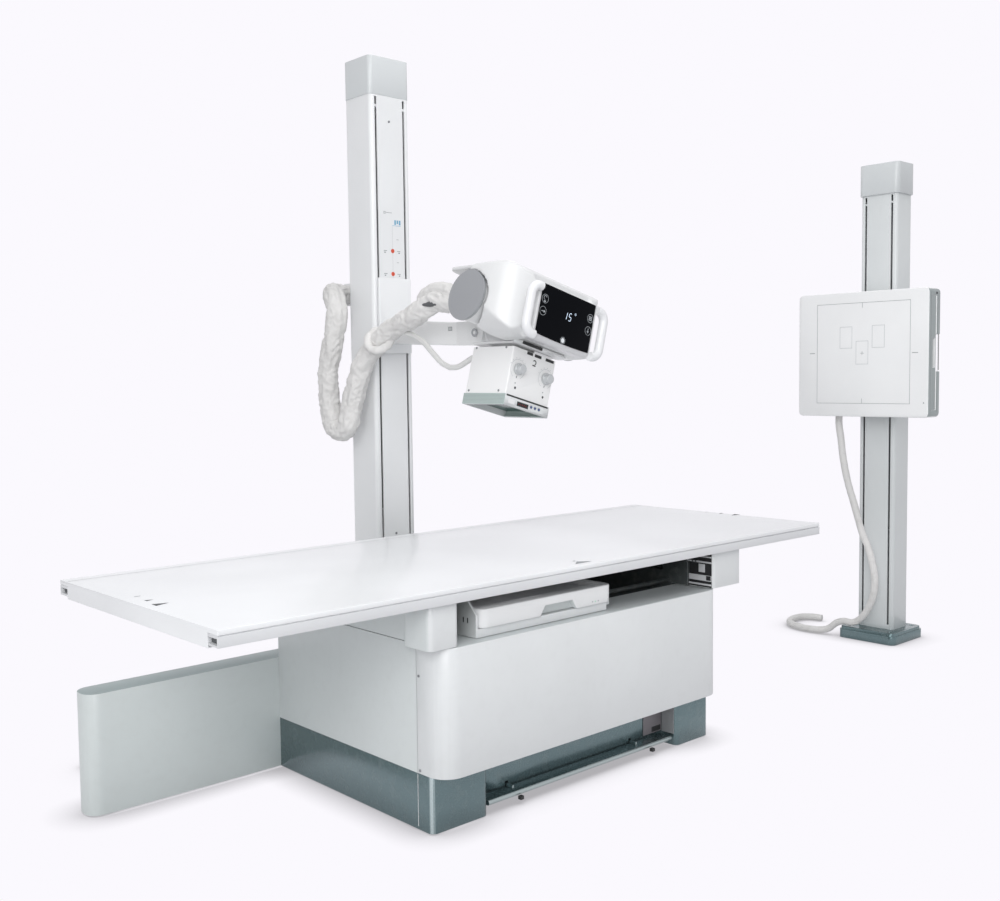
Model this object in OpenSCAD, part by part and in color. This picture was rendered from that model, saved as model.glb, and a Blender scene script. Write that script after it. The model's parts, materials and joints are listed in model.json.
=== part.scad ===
// Floor-mounted x-ray machine: an elevating float-top table with its tube column, and a wall stand.
// Millimetres, +Z up. The origin is on the floor under the middle of the table's base;
// +X runs along the table towards the wall stand and +Y towards the tube column.

/* [Table base] */
// Width of the base over its skirt
base_w = 1150; // [1100:10:1200]
// Depth of the base over its skirt
base_d = 724; // [690:2:760]
// Height of the base's deck above the floor
base_h = 489; // [480:1:500]
// Height of the skirt's top edge
skirt_h = 152; // [140:1:165]
// Gap between the skirt's lower edge and the floor
skirt_gap = 4; // [2:1:8]
// Wall of the skirt
skirt_t = 4; // [3:0.5:5]
// Outer radius of the skirt's foot blocks
foot_r = 18; // [14:1:24]
// Width of the left foot block
foot_left_w = 193; // [180:1:205]
// Width of the right foot block
foot_right_w = 164; // [150:1:180]
// Depth of the foot recess
recess_d = 62; // [56:1:66]
// How far the front panel stands forward of the skirt
panel_proud = 49; // [40:1:56]
// Radius of the front panel's corners
panel_r = 60; // [45:1:70]
// Distance from the skirt's front to the panel seam
seam_set = 57; // [50:1:60]
// Thickness of the sheet-metal panels
sheet = 3; // [2:0.5:4]
// Thickness of the floor plate
floor_plate_t = 10; // [8:1:14]
// Spacing of the floor anchors along X
anchor_x = 1000; // [900:10:1040]
// Spacing of the floor anchors along Y
anchor_y = 540; // [480:10:560]
// Radius of a floor anchor hole
anchor_r = 7; // [5:0.5:9]
// Width of the deck's strip in front of the lift opening
deck_front = 151; // [140:1:156]
// Width of the deck's strip behind the lift opening
deck_back = 50; // [44:1:60]
// Width of the deck's strip at the left end
deck_left = 75; // [70:1:85]
// Width of the deck's strip at the right end
deck_right = 23; // [21:1:27]

/* [Foot tread] */
// Thickness of the tread bar
tread_t = 14; // [10:1:18]
// Height of the tread bar's underside
tread_z = 22; // [18:1:28]
// Depth of the tread bar
tread_d = 46; // [36:1:50]
// Gap round the tread bar in its recess
tread_gap = 10; // [6:1:14]
// Distance of the lever pivots behind the recess wall
tread_reach = 85; // [70:1:95]
// Radius of a lever's pivot pin
tread_pin_r = 5; // [4:0.5:6]
// Distance of the two levers from the middle
tread_arm_x = 260; // [220:5:300]

/* [Table lift] */
// Half the spacing of the two lifting actuators
lift_x = 280; // [250:5:300]
// Place of the actuators along Y
lift_y = 60; // [40:5:90]
// Width of an actuator's square tube
actuator_w = 80; // [70:1:90]
// Height of an actuator's tube
actuator_h = 390; // [370:5:400]
// Radius of an actuator's rod
rod_r = 20; // [16:1:24]
// Height of the lift frame's underside
cradle_z = 430; // [425:1:440]
// Height of the lift frame's lower beams
cradle_h = 40; // [30:1:45]
// Width of the end cover on the left
left_cover_w = 98; // [90:1:105]
// How far the left cover stands out past the base
left_proud = 37; // [30:1:45]
// Width of the end cover on the right
right_cover_w = 150; // [140:1:156]
// How far the right cover stands out past the base
right_proud = 115; // [112:1:122]
// How far the end covers stand forward of the skirt
cover_proud = 45; // [38:1:48]
// Radius of the end covers' upright edges
cover_r = 16; // [10:1:22]

/* [Tabletop] */
// Height of the tabletop's upper face
table_h = 645; // [640:1:660]
// Length of the tabletop
table_l = 2324; // [2200:4:2400]
// Width of the tabletop over its rails
table_w = 850; // [840:2:870]
// Thickness of the tabletop's panel
panel_t = 12; // [10:1:14]
// Place of the tabletop's middle along X
table_x = -32; // [-60:1:0]
// Height of an edge rail, with the shadow gap
rail_h = 27; // [25:1:30]
// Depth of an edge rail
rail_d = 45; // [38:1:50]
// Wall of an edge rail
rail_t = 5; // [4:0.5:6]
// Depth of the accessory groove over each rail
groove_d = 4; // [3:0.5:6]
// Height of the accessory groove
groove_h = 2.5; // [2:0.5:4]

/* [Table bucky] */
// Width of the detector tray
tray_w = 512; // [500:2:520]
// Depth of the detector tray
tray_d = 510; // [490:2:520]
// Height of the detector tray
tray_h = 51; // [46:1:54]
// Radius of the tray's front corners
tray_r = 28; // [20:1:34]
// Distance of the tray from the left riser
tray_gap = 49; // [45:1:60]
// How far the tray's front stands forward of the skirt
tray_proud = 23; // [16:1:30]
// Side of the square flat detector
detector_w = 460; // [440:2:464]
// Thickness of the flat detector
detector_t = 16; // [14:1:18]
// Radius of the bucky's guide rods
guide_r = 7; // [6:0.5:8]

/* [Rail housing] */
// Length of the rail housing behind the table
housing_l = 2308; // [2200:2:2400]
// Place of the rail housing's middle along X
housing_x = -7; // [-20:1:20]
// Depth of the rail housing
housing_d = 95; // [85:1:105]
// Height of the rail housing
housing_h = 336; // [320:1:350]
// Radius of the rail housing's upright edges
housing_r = 40; // [30:1:44]
// Height of the guide rail's middle on the housing
guide_z = 100; // [90:1:110]

/* [Tube column] */
// Place of the column's middle along X
column_x = 92; // [60:1:120]
// Distance from the rail housing to the column's front
column_set = 185; // [175:1:200]
// Width of both columns
column_w = 168; // [160:1:176]
// Depth of the tube column
column_d = 149; // [145:1:160]
// Height of the tube column with its cap
column_h = 2278; // [2200:2:2350]
// Wall of both columns
column_t = 5; // [4:0.5:6]
// Radius of the columns' upright edges
column_r = 14; // [10:1:18]
// Height of a column's cap
cap_h = 132; // [128:1:140]
// Wall of a column's cap
cap_t = 3; // [2:0.5:4]
// Width of a column slot
slot_w = 9; // [8:0.5:11]
// Distance of a slot from the column's middle
slot_x = 60; // [56:1:64]
// Radius of a trolley wheel
wheel_r = 30; // [26:1:34]
// Radius of a wheel axle
axle_r = 8; // [6:0.5:10]
// Radius of a hoist pulley's groove
pulley_r = 36; // [34:0.5:38]
// Radius of a hoist rope
rope_r = 3; // [2:0.5:3.5]

/* [Tube arm and head] */
// Height of the arm's axis
arm_z = 1309.5; // [1290:0.5:1330]
// Height of the carriage's front cover
carriage_h = 262; // [240:2:280]
// Width of the carriage's front cover
carriage_w = 140; // [132:1:146]
// Width of the arm
arm_w = 76; // [70:1:84]
// Radius of the arm's knuckle
knuckle_r = 38; // [34:1:42]
// Place of the knuckle's middle along Y
knuckle_y = 161; // [158:1:170]
// Roll of the head about the arm's axis
head_roll = 15; // [0:1:30]
// Length of the tube housing over its end caps
tube_l = 472; // [450:2:490]
// Radius of the tube housing's end caps
tube_r = 78; // [74:1:80]
// Height of the tube's axis above the arm's axis
tube_w = 45; // [40:1:50]
// Half the width of the head cover's visor
visor_u = 200; // [180:1:206]
// Height of the head cover's top above the arm's axis
cover_top = 156; // [150:1:160]
// How far the console's face stands forward of the arm's end
console_v = 195; // [190:1:205]
// Width of the display's glass
glass_w = 231; // [220:1:240]
// Height of the display's glass
glass_h = 154; // [146:1:156]
// Radius of a handle's bar
handle_r = 14; // [11:0.5:15]
// Distance of a handle's bar from the head's middle
handle_u = 159; // [156:1:170]

/* [Collimator] */
// Width and depth of the collimator's housing
colli_w = 184; // [176:2:190]
// Height of the collimator's housing
colli_h = 146; // [140:1:152]
// Height of the lower frame
frame_h = 34; // [30:1:38]
// Radius of a collimator knob
knob_r = 18; // [15:1:20]
// Distance of a knob from the middle
knob_u = 60; // [52:1:64]
// Radius of a key on the lower frame
key_r = 4; // [3:0.5:5]
// Spacing of the keys
key_pitch = 17; // [14:0.5:19]

/* [Wall stand] */
// Place of the wall column's front face along X
wall_x = 2174; // [2150:1:2250]
// Place of the wall stand's middle along Y
wall_y = -65; // [-100:1:0]
// Depth of the wall column
wall_d = 127; // [118:1:136]
// Height of the wall column with its cap
wall_h = 2060; // [2000:2:2120]
// Side of the square foot plate
foot_w = 264; // [250:2:280]
// Thickness of the foot plate
foot_t = 49; // [40:1:55]
// Width of the wall bucky
bucky_w = 602; // [580:2:620]
// Height of the wall bucky
bucky_h = 530; // [510:2:550]
// Thickness of the wall bucky
bucky_d = 95; // [90:1:100]
// Height of the wall bucky's middle
bucky_z = 1245; // [1200:1:1300]
// Radius of the wall bucky's corners
bucky_r = 20; // [14:1:26]
// Gap between the wall bucky and the wall column
bucky_gap = 44; // [40:1:50]
// Thickness of the wall bucky's tray
wall_tray_t = 38; // [34:1:42]

/* [Cables] */
// Radius of the sleeve round the tube's cables
sleeve_r = 37; // [30:1:38]
// Radius of the collimator's cable
thin_cable_r = 9; // [8:0.5:10]
// Radius of the wall stand's cable sleeve
wall_cable_r = 15; // [13:0.5:15.5]

/* [Hidden] */
$fn = 64;
eps = 1;                                 // overlap of a cutter past the face that it cuts
fit = 0.05;                              // running clearance of a shaft, on the radius
seat = 0.3;                              // gap between a sliding piece and its seat

WHITE = [0.93, 0.94, 0.95];
GREY = [0.78, 0.81, 0.82];
SLATE = [0.44, 0.52, 0.53];
DARK = [0.16, 0.18, 0.18];
STEEL = [0.66, 0.68, 0.69];

base_x = base_w/2;
base_y = base_d/2;
panel_y = -(base_y + panel_proud);
seam_y = -(base_y - seam_set);
recess_y = -(base_y - recess_d);
recess_l = -(base_x - foot_left_w);
recess_r = base_x - foot_right_w;
open_l = -(base_x - deck_left);
open_r = base_x - deck_right;
open_f = -(base_y + panel_proud - deck_front);
open_b = base_y - deck_back;
deck_z = base_h - sheet;
plate_gap = 6;                           // floor plate to skirt
post_w = 20;                             // corner posts of the base frame
post_d = 40;

housing_y = base_y;                      // front of the rail housing
housing_b = housing_y + housing_d;       // back of the rail housing
column_y = housing_b + column_set;       // front of the tube column

function mid(a, b) = (a + b)/2;

// Routes of the cables, from the moving end to the fixed end
tube_route = [[-56, 112, 1405], [-56, 160, 1405], [-56, 213, 1412], [-54, 275, 1394], [-48, 350, 1369],
    [-42, 420, 1350], [-38, 497, 1324], [-38, 544, 1295], [-42, 580, 1269], [-48, 614, 1236],
    [-56, 640, 1188], [-64, 664, 1118], [-69, 678, 1070], [-71, 683, 1036], [-73, 693, 1005],
    [-74, 719, 987], [-75, 751, 987], [-76, 777, 1005], [-77, 787, 1036], [-78, 796, 1090],
    [-78, 802, 1150], [-78, 801, 1200], [-75, 785, 1262], [-71, 768, 1333], [-66, 760, 1390],
    [-60, 776, 1438], [-44, 812, 1466], [-14, 846, 1474], [22, 862, 1474], [60, 862, 1474]];
thin_route = [[8, 92, 1229], [8, 122, 1229], [6, 155, 1215], [2, 190, 1201], [-2, 225, 1200],
    [-6, 262, 1217], [-12, 300, 1250], [-16, 340, 1284], [-22, 380, 1306], [-32, 425, 1322]];
wall_route = [[2110, 80, 980], [2110, 80, 940], [2110, 71, 885], [2110, 59, 798], [2110, 37, 697],
    [2110, 2, 590], [2110, -35, 474], [2110, -69, 399], [2110, -94, 305], [2110, -96, 225],
    [2110, -72, 150], [2110, -36, 96], [2110, 5, 70], [2109, 50, 69], [2106, 84, 56],
    [2099, 116, 28], [2088, 150, 18], [2078, 200, 16], [2082, 256, 16], [2108, 315, 16], [2160, 356, 16],
    [2222, 370, 16], [2275, 362, 16], [2305, 330, 16], [2314, 282, 16]];

// ---------- shared shapes ----------

// Box from its low corner to its high corner
module block(low, high) {
    translate(low) cube(high - low);
}

// Rectangle with round corners, from its low corner to its high corner
module round_rect(low, high, r) {
    translate([low[0] + r, low[1]]) square([high[0] - low[0] - 2*r, high[1] - low[1]]);
    translate([low[0], low[1] + r]) square([high[0] - low[0], high[1] - low[1] - 2*r]);
    for (x = [low[0] + r, high[0] - r], y = [low[1] + r, high[1] - r])
        translate([x, y]) circle(r);
}

// Upright block with round upright edges
module pillar(low, high, r) {
    translate([0, 0, low[2]]) linear_extrude(high[2] - low[2])
        round_rect([low[0], low[1]], [high[0], high[1]], r);
}

// Cylinder along X, Y or Z between two places on that axis
module bar_x(r, x0, x1, y, z) {
    translate([x0, y, z]) rotate([0, 90, 0]) cylinder(r = r, h = x1 - x0);
}
module bar_y(r, y0, y1, x, z) {
    translate([x, y0, z]) rotate([-90, 0, 0]) cylinder(r = r, h = y1 - y0);
}
module bar_z(r, z0, z1, x, y) {
    translate([x, y, z0]) cylinder(r = r, h = z1 - z0);
}

// Outline in the Y-Z plane, extruded along X
module along_x(x0, x1) {
    translate([x0, 0, 0]) rotate([90, 0, 90]) linear_extrude(x1 - x0) children();
}

// Outline in the X-Z plane, extruded along Y
module along_y(y0, y1) {
    translate([0, y1, 0]) rotate([90, 0, 0]) linear_extrude(y1 - y0) children();
}

// ---------- table base ----------

arm_hub_z = tread_z + tread_t/2 + 8;     // height of the tread's pivots
arm_hub_y = recess_y + tread_reach;
lever_w = 6;
lug_w = 6;
lug_r = 11;

module base_frame() {
    plate_x = base_x - skirt_t - plate_gap;
    plate_f = recess_y + skirt_t + 2;
    plate_b = base_y - skirt_t - plate_gap;
    anchor_mid = 30;
    color(STEEL) {
        difference() {
            block([-plate_x, plate_f, 0], [plate_x, plate_b, floor_plate_t]);
            for (x = [-1, 1]*anchor_x/2, y = [-1, 1]*anchor_y/2)
                bar_z(anchor_r, -eps, floor_plate_t + eps, x, anchor_mid + y);
        }
        // corner posts under the deck
        for (s = [-1, 1], y = [seam_y + plate_gap, plate_b - post_d])
            block([s*(base_x - skirt_t) - (s > 0 ? post_w : 0), y, floor_plate_t - eps],
                [s*(base_x - skirt_t) + (s > 0 ? 0 : post_w), y + post_d, deck_z]);
        // clevises and pins of the tread's levers
        for (s = [-1, 1]) {
            for (k = [-1, 1])
                difference() {
                    union() {
                        block([s*tread_arm_x + k*(lever_w/2 + seat + lug_w/2) - lug_w/2,
                                arm_hub_y - lug_r, floor_plate_t - eps],
                            [s*tread_arm_x + k*(lever_w/2 + seat + lug_w/2) + lug_w/2,
                                arm_hub_y + lug_r, arm_hub_z]);
                        bar_x(lug_r, s*tread_arm_x + k*(lever_w/2 + seat + lug_w/2) - lug_w/2,
                            s*tread_arm_x + k*(lever_w/2 + seat + lug_w/2) + lug_w/2,
                            arm_hub_y, arm_hub_z);
                    }
                }
            bar_x(tread_pin_r, s*tread_arm_x - lever_w/2 - seat - lug_w,
                s*tread_arm_x + lever_w/2 + seat + lug_w, arm_hub_y, arm_hub_z);
        }
    }
}

// Plan of the skirt, drawn in by a distance
module skirt_plan(inset) {
    foot_back = recess_y + 50;
    translate([-base_x + inset, recess_y + inset])
        square([base_w - 2*inset, base_y - recess_y - 2*inset]);
    round_rect([-base_x + inset, -base_y + inset], [recess_l - inset, foot_back], foot_r - inset);
    round_rect([recess_r + inset, -base_y + inset], [base_x - inset, foot_back], foot_r - inset);
}

module skirt() {
    lever_slot = lever_w + 6;
    color(SLATE)
    difference() {
        translate([0, 0, skirt_gap]) linear_extrude(skirt_h - skirt_gap)
            difference() {
                skirt_plan(0);
                skirt_plan(skirt_t);
            }
        for (s = [-1, 1])
            block([s*tread_arm_x - lever_slot/2, recess_y - eps, tread_z - 8],
                [s*tread_arm_x + lever_slot/2, recess_y + skirt_t + eps, arm_hub_z + 12]);
    }
}

// Plan of the front panel, drawn in by a distance
module front_plan(inset) {
    translate([-base_x + inset, panel_y + panel_r]) square([base_w - 2*inset, seam_y - panel_y - panel_r]);
    translate([-base_x + panel_r, panel_y + inset]) square([base_w - 2*panel_r, seam_y - panel_y - inset]);
    for (s = [-1, 1]) translate([s*(base_x - panel_r), panel_y + panel_r]) circle(panel_r - inset);
}

// Keeps what is in front of the panel seam
module before_seam() {
    intersection() {
        children();
        translate([-base_w, 2*panel_y]) square([2*base_w, seam_y - 2*panel_y]);
    }
}

module front_panel() {
    color(WHITE) {
        translate([0, 0, skirt_h]) linear_extrude(base_h - skirt_h)
            before_seam() difference() {
                front_plan(0);
                front_plan(sheet);
            }
        translate([0, 0, skirt_h]) linear_extrude(sheet) before_seam() front_plan(0);
    }
}

module side_panel(s) {
    x0 = s > 0 ? base_x - sheet : -base_x;
    color(GREY) block([x0, seam_y, skirt_h], [x0 + sheet, base_y, base_h]);
}
module left_panel() { side_panel(-1); }
module right_panel() { side_panel(1); }

module rear_panel() {
    color(GREY) block([-base_x + sheet, base_y - sheet, skirt_h], [base_x - sheet, base_y, base_h]);
}

module deck() {
    color(GREY)
    translate([0, 0, deck_z]) linear_extrude(sheet) difference() {
        union() {
            before_seam() front_plan(sheet);
            translate([-base_x + sheet, seam_y]) square([base_w - 2*sheet, base_y - sheet - seam_y]);
        }
        translate([open_l, open_f]) square([open_r - open_l, open_b - open_f]);
    }
}

module control_box() {
    box_w = 300;
    box_d = 250;
    box_h = 170;
    color(GREY)
    pillar([-box_w/2, lift_y - box_d - 20, floor_plate_t], [box_w/2, lift_y - 20, floor_plate_t + box_h], 8);
}

actuator_top = floor_plate_t + actuator_h;
rod_foot = floor_plate_t + 40;           // height of the rod's foot in its tube

module actuator_bodies() {
    motor_r = 34;
    motor_h = 130;
    gear_h = 36;
    reach = actuator_w/2 + motor_r + 6;
    color(GREY)
    for (s = [-1, 1]) {
        difference() {
            pillar([s*lift_x - actuator_w/2, lift_y - actuator_w/2, floor_plate_t],
                [s*lift_x + actuator_w/2, lift_y + actuator_w/2, actuator_top], 8);
            bar_z(rod_r + fit, rod_foot - 4, actuator_top + eps, s*lift_x, lift_y);
        }
        block([s*lift_x - motor_r, lift_y + actuator_w/2 - eps, floor_plate_t],
            [s*lift_x + motor_r, lift_y + reach, floor_plate_t + gear_h]);
        bar_z(motor_r, floor_plate_t, floor_plate_t + gear_h + motor_h, s*lift_x, lift_y + reach);
    }
}

module rail_housing() {
    top_t = 3;
    x0 = housing_x - housing_l/2;
    x1 = housing_x + housing_l/2;
    color(GREY)
    difference() {
        pillar([x0, housing_y, skirt_gap], [x1, housing_b, housing_h], housing_r);
        pillar([x0 + sheet, housing_y + sheet, skirt_gap - eps],
            [x1 - sheet, housing_b - sheet, housing_h - top_t], housing_r - sheet);
    }
}

track_t = 20;                            // floor track's thickness
track_l = housing_x - housing_l/2 + 151;  // left end of the floor track
track_r = housing_x + housing_l/2 - 7;
rail_out = 18;                           // guide rail's depth
rail_z = 16;                             // guide rail's height

module travel_rails() {
    tie_t = 12;
    tie_w = 60;
    guide_l = housing_l/2 - housing_r - 10;
    color(STEEL) {
        block([housing_x - guide_l, housing_b, guide_z - rail_z/2],
            [housing_x + guide_l, housing_b + rail_out, guide_z + rail_z/2]);
        block([track_l, column_y - 4, 0], [track_r, column_y + column_d + 10, track_t]);
        for (x = [-900, -300, 300, 900]) {
            block([x - tie_w/2, housing_b, 0], [x + tie_w/2, column_y - 4 + eps, tie_t]);
            block([x - tie_w/2, housing_b, 0], [x + tie_w/2, housing_b + tie_t, guide_z - 28]);
        }
    }
}

// ---------- table lift ----------

riser_t = 12;
riser_l = open_l + 18;                   // outer face of the left riser
riser_r = open_r - 12;                   // outer face of the right riser
beam_z = base_h + 11;                    // underside of the end beams
beam_h = 30;
float_l = -(base_x - 30);                // middle of the left float rail
float_r = base_x + 58;                   // middle of the right float rail
rail_top = table_h - panel_t - groove_h; // top of an edge rail
rail_bot = rail_top - rail_h + groove_h; // underside of an edge rail
cover_top_z = rail_bot - 2;              // top of the end covers
float_top = cover_top_z;                 // top of the float rails
float_f = -(base_y - 72);                // front end of the float rails
float_b = base_y - 32;
rod_z = base_h + 11;                     // height of the bucky's guide rods
left_wall = -base_x + sheet;             // where the left cover sits on the lift frame
right_wall = base_x + right_proud - sheet;
rod_f = open_f + 25;
rod_b = lift_y + 120;

// One end of the lift frame: riser, beam and float rail
module lift_end(riser_x0, beam_x0, beam_x1, rail_x) {
    tab_f = open_f - 56;
    tab_b = open_f + 47;
    tab_top = rail_bot - 21;
    chamfer = 20;
    along_x(riser_x0, riser_x0 + riser_t) {
        translate([open_f + 10, cradle_z]) square([open_b - open_f - 22, beam_z + beam_h - cradle_z]);
        polygon([[tab_f, base_h + 3], [tab_b, base_h + 3], [tab_b, tab_top], [tab_f + chamfer, tab_top],
            [tab_f, tab_top - chamfer]]);
    }
    block([beam_x0, float_f, beam_z], [beam_x1, float_b, beam_z + beam_h]);
    block([rail_x - 10, float_f, beam_z + beam_h - eps], [rail_x + 10, float_b, float_top - 19]);
    block([rail_x - 7, float_f, float_top - 20], [rail_x + 7, float_b, float_top]);
}

module lift_frame() {
    beam_d = 40;
    beam_f = open_f + 60;
    beam_b = open_b - 72;
    plate_w = 100;
    plate_t = 12;
    back_t = 12;
    color(DARK) {
        for (y = [beam_f, beam_b])
            block([riser_l + riser_t - eps, y, cradle_z],
                [riser_r - riser_t + eps, y + beam_d, cradle_z + cradle_h]);
        for (s = [-1, 1])
            block([s*lift_x - plate_w/2, beam_f + eps, cradle_z],
                [s*lift_x + plate_w/2, beam_b + eps, cradle_z + plate_t]);
        lift_end(riser_l, left_wall, riser_l + eps, float_l);
        lift_end(riser_r - riser_t, riser_r - eps, right_wall, float_r);
        // stiffener across the back
        block([left_wall, float_b - back_t, beam_z], [right_wall, float_b, beam_z + 2*beam_h]);
    }
}

module lift_shroud() {
    wall = 2;
    gap = 3;
    foot = 200;                          // height of its lower edge
    color(DARK)
    difference() {
        block([open_l + gap, open_f + gap, foot], [open_r - gap, open_b - gap, beam_z]);
        block([open_l + gap + wall, open_f + gap + wall, foot - eps],
            [open_r - gap - wall, open_b - gap - wall, beam_z + eps]);
        // front wall stays under the carriage
        block([open_l + gap + wall, open_f, deck_z - 2],
            [open_r - gap - wall, open_f + gap + wall + eps, beam_z + eps]);
    }
}

cover_f = -(base_y + cover_proud);       // front of the end covers
cover_bot = base_h + 2;

// Hollow end cover with round upright edges, open at its top
module end_cover(x0, x1, y1) {
    difference() {
        pillar([x0, cover_f, cover_bot], [x1, y1, cover_top_z], cover_r);
        pillar([x0 + sheet, cover_f + sheet, cover_bot + sheet], [x1 - sheet, y1 - sheet, cover_top_z + eps],
            cover_r - sheet);
    }
}

module left_cover() {
    x0 = -base_x - left_proud;
    color(WHITE) {
        end_cover(x0, x0 + left_cover_w, float_f - 6);
        // side panel behind the cover, over the base's own side
        block([-base_x, float_f - 6 - eps, cover_bot], [-base_x + sheet, base_y, cover_top_z]);
    }
}

module right_cover() {
    x1 = base_x + right_proud;
    inner = x1 - right_cover_w;
    color(WHITE) {
        end_cover(inner, x1, float_f - 6);
        // outer side and back
        block([x1 - sheet, float_f - 6 - cover_r, cover_bot], [x1, base_y, cover_top_z]);
        block([inner, base_y - sheet, cover_bot], [x1, base_y, cover_top_z]);
    }
}

module actuator_rods() {
    flange = 90;
    flange_t = 10;
    color(STEEL)
    for (s = [-1, 1]) {
        bar_z(rod_r, rod_foot, cradle_z - flange_t + eps, s*lift_x, lift_y);
        block([s*lift_x - flange/2, lift_y - flange/2, cradle_z - flange_t],
            [s*lift_x + flange/2, lift_y + flange/2, cradle_z]);
    }
}

module bucky_rails() {
    color(STEEL)
    for (y = [rod_f, rod_b]) bar_x(guide_r, riser_l + riser_t, riser_r - riser_t, y, rod_z);
}

// ---------- float top ----------

channel_lo = rail_bot + rail_t;          // inside of an edge rail
channel_hi = rail_top - rail_t;
float_lo = channel_lo + 0.5;
float_hi = channel_hi - 0.5;

module float_carriage() {
    bar_w = 50;
    side_w = 30;
    side_y = 300;
    shoe = table_w/2 - groove_d - rail_t - 3;
    block_l = 60;
    block_w = 44;
    block_y = 150;
    color(STEEL)
    for (x = [float_l, float_r]) {
        block([x - bar_w/2, -shoe, float_lo], [x + bar_w/2, shoe, float_hi]);
        for (s = [-1, 1])
            difference() {
                block([x - block_w/2, s*block_y - block_l/2, float_top - 15],
                    [x + block_w/2, s*block_y + block_l/2, float_lo + eps]);
                block([x - 7 - seat, s*block_y - block_l, float_top - 16],
                    [x + 7 + seat, s*block_y + block_l, float_top + seat]);
            }
    }
    color(STEEL)
    for (s = [-1, 1])
        block([float_l, s*side_y - side_w/2, float_lo], [float_r, s*side_y + side_w/2, float_hi]);
}

module tabletop() {
    end_t = 12;
    end_h = 34;                          // how far an end wall hangs below the panel
    end_y = table_w/2 - rail_d - 1;
    panel_z = table_h - panel_t;
    color(WHITE) {
        block([table_x - table_l/2, -table_w/2, panel_z], [table_x + table_l/2, table_w/2, table_h]);
        for (x = [-table_l/2, table_l/2 - end_t])
            block([table_x + x, -end_y, panel_z - end_h], [table_x + x + end_t, end_y, panel_z + eps]);
    }
}

// Edge rail with its channel towards the middle, for the side s
module edge_rail(s) {
    y = table_w/2;
    color(WHITE)
    along_x(table_x - table_l/2, table_x + table_l/2)
        scale([s, 1]) {
            translate([y - rail_t, rail_bot]) square([rail_t, rail_top - rail_bot]);
            translate([y - rail_d, rail_bot]) square([rail_d, rail_t]);
            translate([y - rail_d, rail_top - rail_t]) square([rail_d, rail_t]);
            translate([y - rail_d, rail_top - rail_t]) square([rail_d - groove_d, rail_t + groove_h]);
        }
}
module front_rail() { edge_rail(-1); }
module rear_rail() { edge_rail(1); }

// ---------- table bucky ----------

tray_y = -(base_y + tray_proud);         // front of the tray
tray_l = riser_l + riser_t + tray_gap;   // sides of the tray
tray_e = tray_l + tray_w;
tray_x = mid(tray_l, tray_e);
carr_top = base_h + 25;                  // top of the bucky carriage's members
tray_z = carr_top + seat;

module bucky_carriage() {
    side_w = 30;
    member_t = 12;
    front_d = 25;
    sleeve_w = 10;
    x0 = tray_l - 6;
    x1 = tray_e + 6;
    f = tray_y + 8;
    bar_end = x1 - side_w + 4;           // right end of the front bar
    back = rod_b + sleeve_w;
    plate_t = 6;
    plate_top = rail_bot - 19;
    cheek_set = 40;                      // the cheeks start this far behind the front bar's face
    color(WHITE)
    difference() {
        union() {
            block([x0, f, base_h + 2], [bar_end, f + front_d, carr_top]);
            for (x = [x0, x1 - side_w]) {
                block([x, f + front_d/2, carr_top - member_t], [x + side_w, back, carr_top]);
                bar_x(sleeve_w, x, x + side_w, rod_f, rod_z);
            }
            block([x0, rod_b - sleeve_w, base_h + 1], [x1, back, carr_top]);
            // cheeks that guide the tray
            block([x0, f + cheek_set, carr_top - eps], [x0 + 6 - seat, back, carr_top + 14]);
            block([x1 - 6 + seat, f + cheek_set, carr_top - eps], [x1, back, carr_top + 14]);
            // end plate with its chamfered corner
            along_x(x0 - plate_t, x0 + eps)
                polygon([[f, base_h + 2], [f + 115, base_h + 2], [f + 115, plate_top], [f + 34, plate_top],
                    [f, plate_top - 36]]);
        }
        for (y = [rod_f, rod_b]) bar_x(guide_r + fit, x0 - 20, x1 + 20, y, rod_z);
    }
}

pan_wall = 14;
pan_floor = 22;
pan_l = tray_x - detector_w/2 - 2;
pan_y = tray_y + 40;

module tray() {
    grip_w = 146;                        // width of the finger recess at its mouth
    grip_top_w = 108;                    // and at its top
    grip_x = tray_x + 34;
    grip_d = 22;
    grip_h = tray_h*0.53;
    color(WHITE)
    difference() {
        translate([0, 0, tray_z]) linear_extrude(tray_h) union() {
            round_rect([tray_l, tray_y], [tray_e, tray_y + 3*tray_r], tray_r);
            translate([tray_l, tray_y + tray_r]) square([tray_w, tray_d - tray_r]);
        }
        block([pan_l, pan_y, tray_z + pan_floor],
            [pan_l + detector_w + 4, pan_y + detector_w + 4, tray_z + tray_h + eps]);
        // finger recess under the front edge
        translate([grip_x, 0, tray_z]) along_y(tray_y - eps, tray_y + grip_d)
            polygon([[-grip_w/2, -eps], [grip_w/2, -eps], [grip_top_w/2, grip_h], [-grip_top_w/2, grip_h]]);
    }
}

module detector() {
    color(DARK)
    pillar([pan_l + 2, pan_y + 2, tray_z + pan_floor],
        [pan_l + 2 + detector_w, pan_y + 2 + detector_w, tray_z + pan_floor + detector_t], 6);
}

module foot_tread() {
    y1 = recess_y - 6;
    y0 = y1 - tread_d;
    nose = tread_t/2;
    color(SLATE)
    difference() {
        union() {
            block([recess_l + tread_gap, y0 + nose, tread_z], [recess_r - tread_gap, y1, tread_z + tread_t]);
            bar_x(nose, recess_l + tread_gap, recess_r - tread_gap, y0 + nose, tread_z + nose);
            for (s = [-1, 1]) {
                block([s*tread_arm_x - lever_w/2, y1 - 20, tread_z + 2],
                    [s*tread_arm_x + lever_w/2, arm_hub_y, arm_hub_z + 6]);
                bar_x(9, s*tread_arm_x - lever_w/2, s*tread_arm_x + lever_w/2, arm_hub_y, arm_hub_z);
            }
        }
        for (s = [-1, 1])
            bar_x(tread_pin_r + fit, s*tread_arm_x - lever_w, s*tread_arm_x + lever_w, arm_hub_y, arm_hub_z);
    }
}

// ---------- columns ----------

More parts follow.
